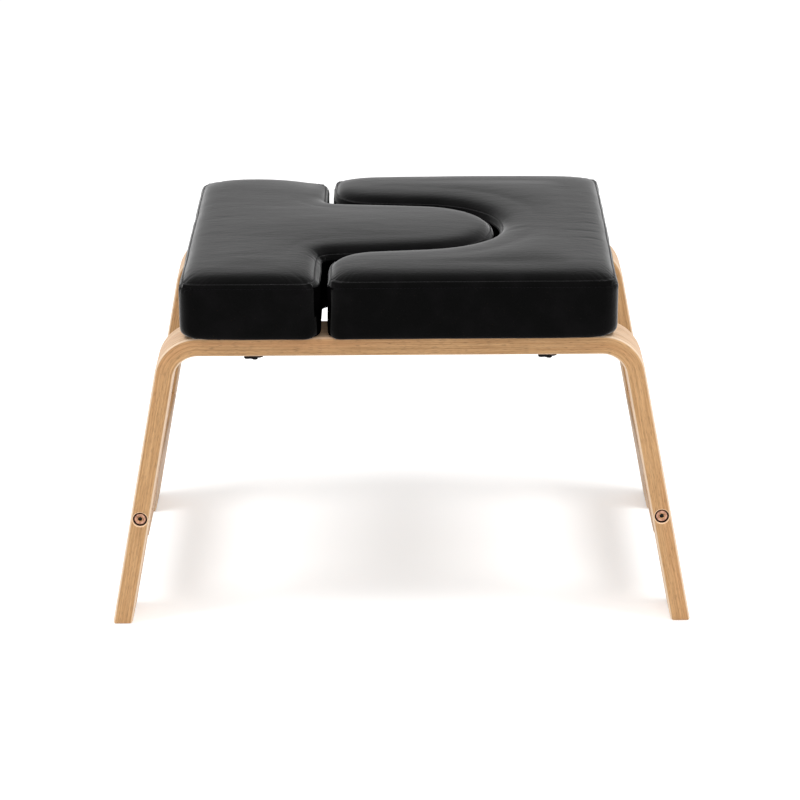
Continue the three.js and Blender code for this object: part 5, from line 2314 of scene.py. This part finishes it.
    def build(self) -> None:
        """Makes the pad's pieces."""
        cover, paths = self.cover()
        carried(cover, self.body, LEATHER, f"{self.name}_cover")
        carried(self.foam(), self.body, FOAM, f"{self.name}_foam")
        board = carried(self.board(), self.body, PLYWOOD, f"{self.name}_board")
        lining, flat, area = self.lining()
        carried(lining, self.body, LINING, f"{self.name}_lining")
        runs = [
            Run(f"{self.name}_stitches", THREAD, pitch=3.6, length=2.7, thickness=0.6, rise=0.9, sink=0.2,
                turn_spread=0.06, facing=Facing.OUTWARDS, seed=11),
            Run(f"{self.name}_seam_stitches", THREAD, pitch=3.6, length=2.5, thickness=0.5, rise=0.7,
                sink=0.2, turn_spread=0.06, facing=Facing.UPWARDS, seed=17),
            Run(f"{self.name}_staples", STAPLE_STEEL, pitch=24.0, length=10.0, thickness=0.6, rise=0.0,
                sink=0.12, turn_spread=0.5, facing=Facing.DOWNWARDS, seed=23, bends=3),
        ]
        for run in runs:
            path = paths[run.name.removeprefix(f"{self.name}_")]
            carried(run.build(path), self.body, run.finish)


def pads(layout: Layout) -> list[Pad]:
    """Both pads of the seat.

    Args:
        layout: the shared sizes.

    Returns:
        The T-shaped pad and the U-shaped one.
    """
    plan = PadPlan()
    half = plan.depth / 2
    left, right = -plan.length / 2, plan.length / 2
    t_droops = (
        Droop(left, -half, 24.0, 0.4, 0.2), Droop(left, half, 30.0, 0.6, 0.4),
        Droop(plan.t_right, -half, 30.0, 0.35, 0.6), Droop(plan.t_right, half, 42.0, 0.8, 1.4),
        Droop(plan.t_right, -140.0, 44.0, 0.0, 0.0, aside=-3.2), Droop(-155.0, half, 60.0, 0.0, -0.7),
    )
    u_droops = (
        Droop(right, -half, 26.0, 0.4, 0.2), Droop(right, half, 26.0, 0.4, 0.2),
        Droop(plan.u_left, -half, 24.0, 0.4, 0.4), Droop(plan.u_left, half, 24.0, 0.5, 0.8),
        Droop(75.0, half, 105.0, 0.0, -1.3),
    )
    t_creases = (
        Crease(-150.0, -118.0, 4.0, 46.0, 5.0, 0.16), Crease(-122.0, 60.0, -3.0, 60.0, 6.0, 0.14),
        Crease(-185.0, 20.0, 6.0, 40.0, 5.0, 0.14), Crease(-96.0, -92.0, -38.0, 26.0, 4.0, 0.25),
    )
    u_creases = (
        Crease(202.0, -12.0, 4.0, 26.0, 3.4, 0.3), Crease(194.0, -41.0, -3.0, 34.0, 3.8, 0.25),
        Crease(200.0, -68.0, -5.0, 30.0, 3.2, 0.3), Crease(203.0, -92.0, -8.0, 24.0, 3.2, 0.2),
        Crease(204.0, 26.0, 3.0, 22.0, 3.4, 0.2), Crease(122.0, -30.0, 24.0, 30.0, 4.0, 0.25),
        Crease(120.0, -14.0, 4.0, 26.0, 4.0, 0.2), Crease(70.0, -150.0, 2.0, 70.0, 7.0, 0.14),
    )
    t_reach, u_reach = 34.0, 40.0
    t_corners, u_corners = plan.t_corners(t_reach), plan.u_corners(u_reach)
    t_crown, u_crown = Crown(6.2, 5.2, 2.6, 20.0, 1.2), Crown(4.0, 4.5, 4.4, 13.0, 1.6)
    return [
        Pad("t_pad", "t_pad", t_corners, u_corners, t_crown, strip=4.2, droops=t_droops, creases=t_creases,
            stud_side=-1, layout=layout, seed=2.3, reach=t_reach),
        Pad("u_pad", "frame", u_corners, t_corners, u_crown, strip=6.0, droops=u_droops, creases=u_creases,
            stud_side=1, layout=layout, seed=8.1, reach=u_reach),
    ]


# CAD nodes that keep their shape


KEPT_NODES = {"dowel": DOWEL_WOOD, "knob_stud": BLACK_STEEL, "tee_nut": ZINC}


def dress_kept_nodes() -> None:
    """Gives the CAD nodes that are shown their finishes."""
    for name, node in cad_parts.items():
        finish = next((f for start, f in KEPT_NODES.items() if name.startswith(start)), None)
        if finish is None or node.hide_render:
            continue
        node.data.materials.clear()
        node.data.materials.append(finish.material())
        LOG.info("%s keeps its shape, in %s", name, finish.name)


# The studio


WHITE = (1.0, 1.0, 1.0, 1.0)


@dataclass
class Studio:
    """A white floor, soft lamps and the camera at the photograph's angle."""

    focal_pixels: float = 2898.6
    picture: float = 800.0
    sensor: float = 36.0
    elevation: float = math.radians(19.786)
    yaw: float = math.radians(-0.115)
    roll: float = math.radians(-0.397)
    target: tuple[float, float, float] = (-0.074, -188.0, 245.813)
    distance: float = 2929.5
    floor_size: float = 30000.0
    floor_paint: float = 0.9
    floor_glow: float = 0.4
    ambient: float = 0.59

    def camera(self) -> None:
        """Makes the camera."""
        cos, sin = math.cos(self.elevation), math.sin(self.elevation)
        forward = Vector((math.sin(self.yaw) * cos, math.cos(self.yaw) * cos, -sin))
        level = Vector((math.cos(self.yaw), -math.sin(self.yaw), 0))
        up = level.cross(forward)
        right = level * math.cos(self.roll) + up * math.sin(self.roll)
        top = up * math.cos(self.roll) - level * math.sin(self.roll)
        place = (Vector(self.target) - forward * self.distance) * MM
        turn = Matrix((right, top, -forward)).transposed().to_4x4()
        data = bpy.data.cameras.new("camera")
        data.sensor_width = self.sensor
        data.lens = self.focal_pixels * self.sensor / self.picture
        data.clip_start, data.clip_end = 0.05, 100.0
        camera = added("camera", data)
        camera.matrix_world = Matrix.Translation(place) @ turn
        bpy.context.scene.camera = camera

    @staticmethod
    def seen(nodes: Nodes) -> Value:
        """1 for rays that come from the camera, a mirror or glass."""
        rays = nodes.add("ShaderNodeLightPath").outputs
        camera, glossy = nodes.number(rays["Is Camera Ray"]), nodes.number(rays["Is Glossy Ray"])
        return camera.most(glossy).most(nodes.number(rays["Is Transmission Ray"]))

    def floor(self) -> None:
        """Makes a white floor that keeps the stool's shadow, and isn't seen from below."""
        half = self.floor_size / 2
        mesh = Mesh()
        corners = np.array([(-half, -half), (half, -half), (half, half), (-half, half)])
        mesh.cap(mesh.add_points(level(corners, 0.0)), up=True)
        material = bpy.data.materials.new("studio_floor")
        nodes = cleared(material)
        paint = nodes.add("ShaderNodeBsdfDiffuse", sockets={"Color": (*[self.floor_paint] * 3, 1.0)})
        glow = nodes.add("ShaderNodeEmission", sockets={"Color": WHITE, "Strength": self.floor_glow})
        both = nodes.add("ShaderNodeAddShader", sockets={0: paint.outputs[0], 1: glow.outputs[0]})
        shaders = {0: self.seen(nodes), 1: paint.outputs[0], 2: both.outputs[0]}
        lit = nodes.add("ShaderNodeMixShader", sockets=shaders)
        back = nodes.number(nodes.add("ShaderNodeNewGeometry").outputs["Backfacing"])
        clear = nodes.add("ShaderNodeBsdfTransparent")
        shown = nodes.add("ShaderNodeMixShader", sockets={0: back, 1: lit.outputs[0], 2: clear.outputs[0]})
        nodes.add("ShaderNodeOutputMaterial", sockets={"Surface": shown.outputs[0]})
        floor = mesh.finished("studio_floor", PLASTIC)
        floor.data.materials.clear()
        floor.data.materials.append(material)

    def world(self) -> None:
        """Makes a white surround that lights the stool softly."""
        world = bpy.data.worlds.new("studio")
        nodes = cleared(world)
        soft = nodes.add("ShaderNodeBackground", sockets={"Color": WHITE, "Strength": self.ambient})
        plain = nodes.add("ShaderNodeBackground", sockets={"Color": WHITE, "Strength": 1.0})
        shaders = {0: self.seen(nodes), 1: soft.outputs[0], 2: plain.outputs[0]}
        mixed = nodes.add("ShaderNodeMixShader", sockets=shaders)
        nodes.add("ShaderNodeOutputWorld", sockets={"Surface": mixed.outputs[0]})
        bpy.context.scene.world = world

    @staticmethod
    def lamp(name: str, place: tuple[float, float, float], size: float, power: float) -> None:
        """Adds a square lamp that faces the seat.

        Args:
            name: its name.
            place: where it hangs, in metres.
            size: its side, in metres.
            power: its power in watts.
        """
        data = bpy.data.lights.new(name, "AREA")
        data.shape = "SQUARE"
        data.size = size
        data.energy = power
        aim = Vector((0.0, 0.0, 0.25)) - Vector(place)
        turn = aim.to_track_quat("-Z", "Y").to_matrix().to_4x4()
        added(name, data).matrix_world = Matrix.Translation(place) @ turn

    def build(self) -> None:
        """Makes the whole studio."""
        bpy.context.scene.view_settings.view_transform = "Standard"
        self.camera()
        self.floor()
        self.world()
        self.lamp("upper_left", (-1.2, -0.4, 2.55), 1.0, 31.0)
        self.lamp("upper_right", (1.2, -0.4, 2.55), 1.0, 31.0)
        self.lamp("front", (0.6, -2.6, 1.7), 1.6, 13.0)


def main() -> None:
    """Builds the studio and every piece."""
    logging.basicConfig(level=logging.INFO, format="%(name)s: %(message)s")
    Studio().build()
    for end_name in ENDS:
        BentFrame(LAYOUT, end_name).build()
    for side_name in SIDES:
        Crossbar(LAYOUT, side_name).build()
    for end_name in ENDS:
        for side_name in SIDES:
            for kind in (ConnectorBolt, BarrelNut, Knob, Washer):
                kind(LAYOUT, side_name, end_name).build()
    for pad in pads(LAYOUT):
        pad.build()
    dress_kept_nodes()


if __name__ == "__main__":
    main()
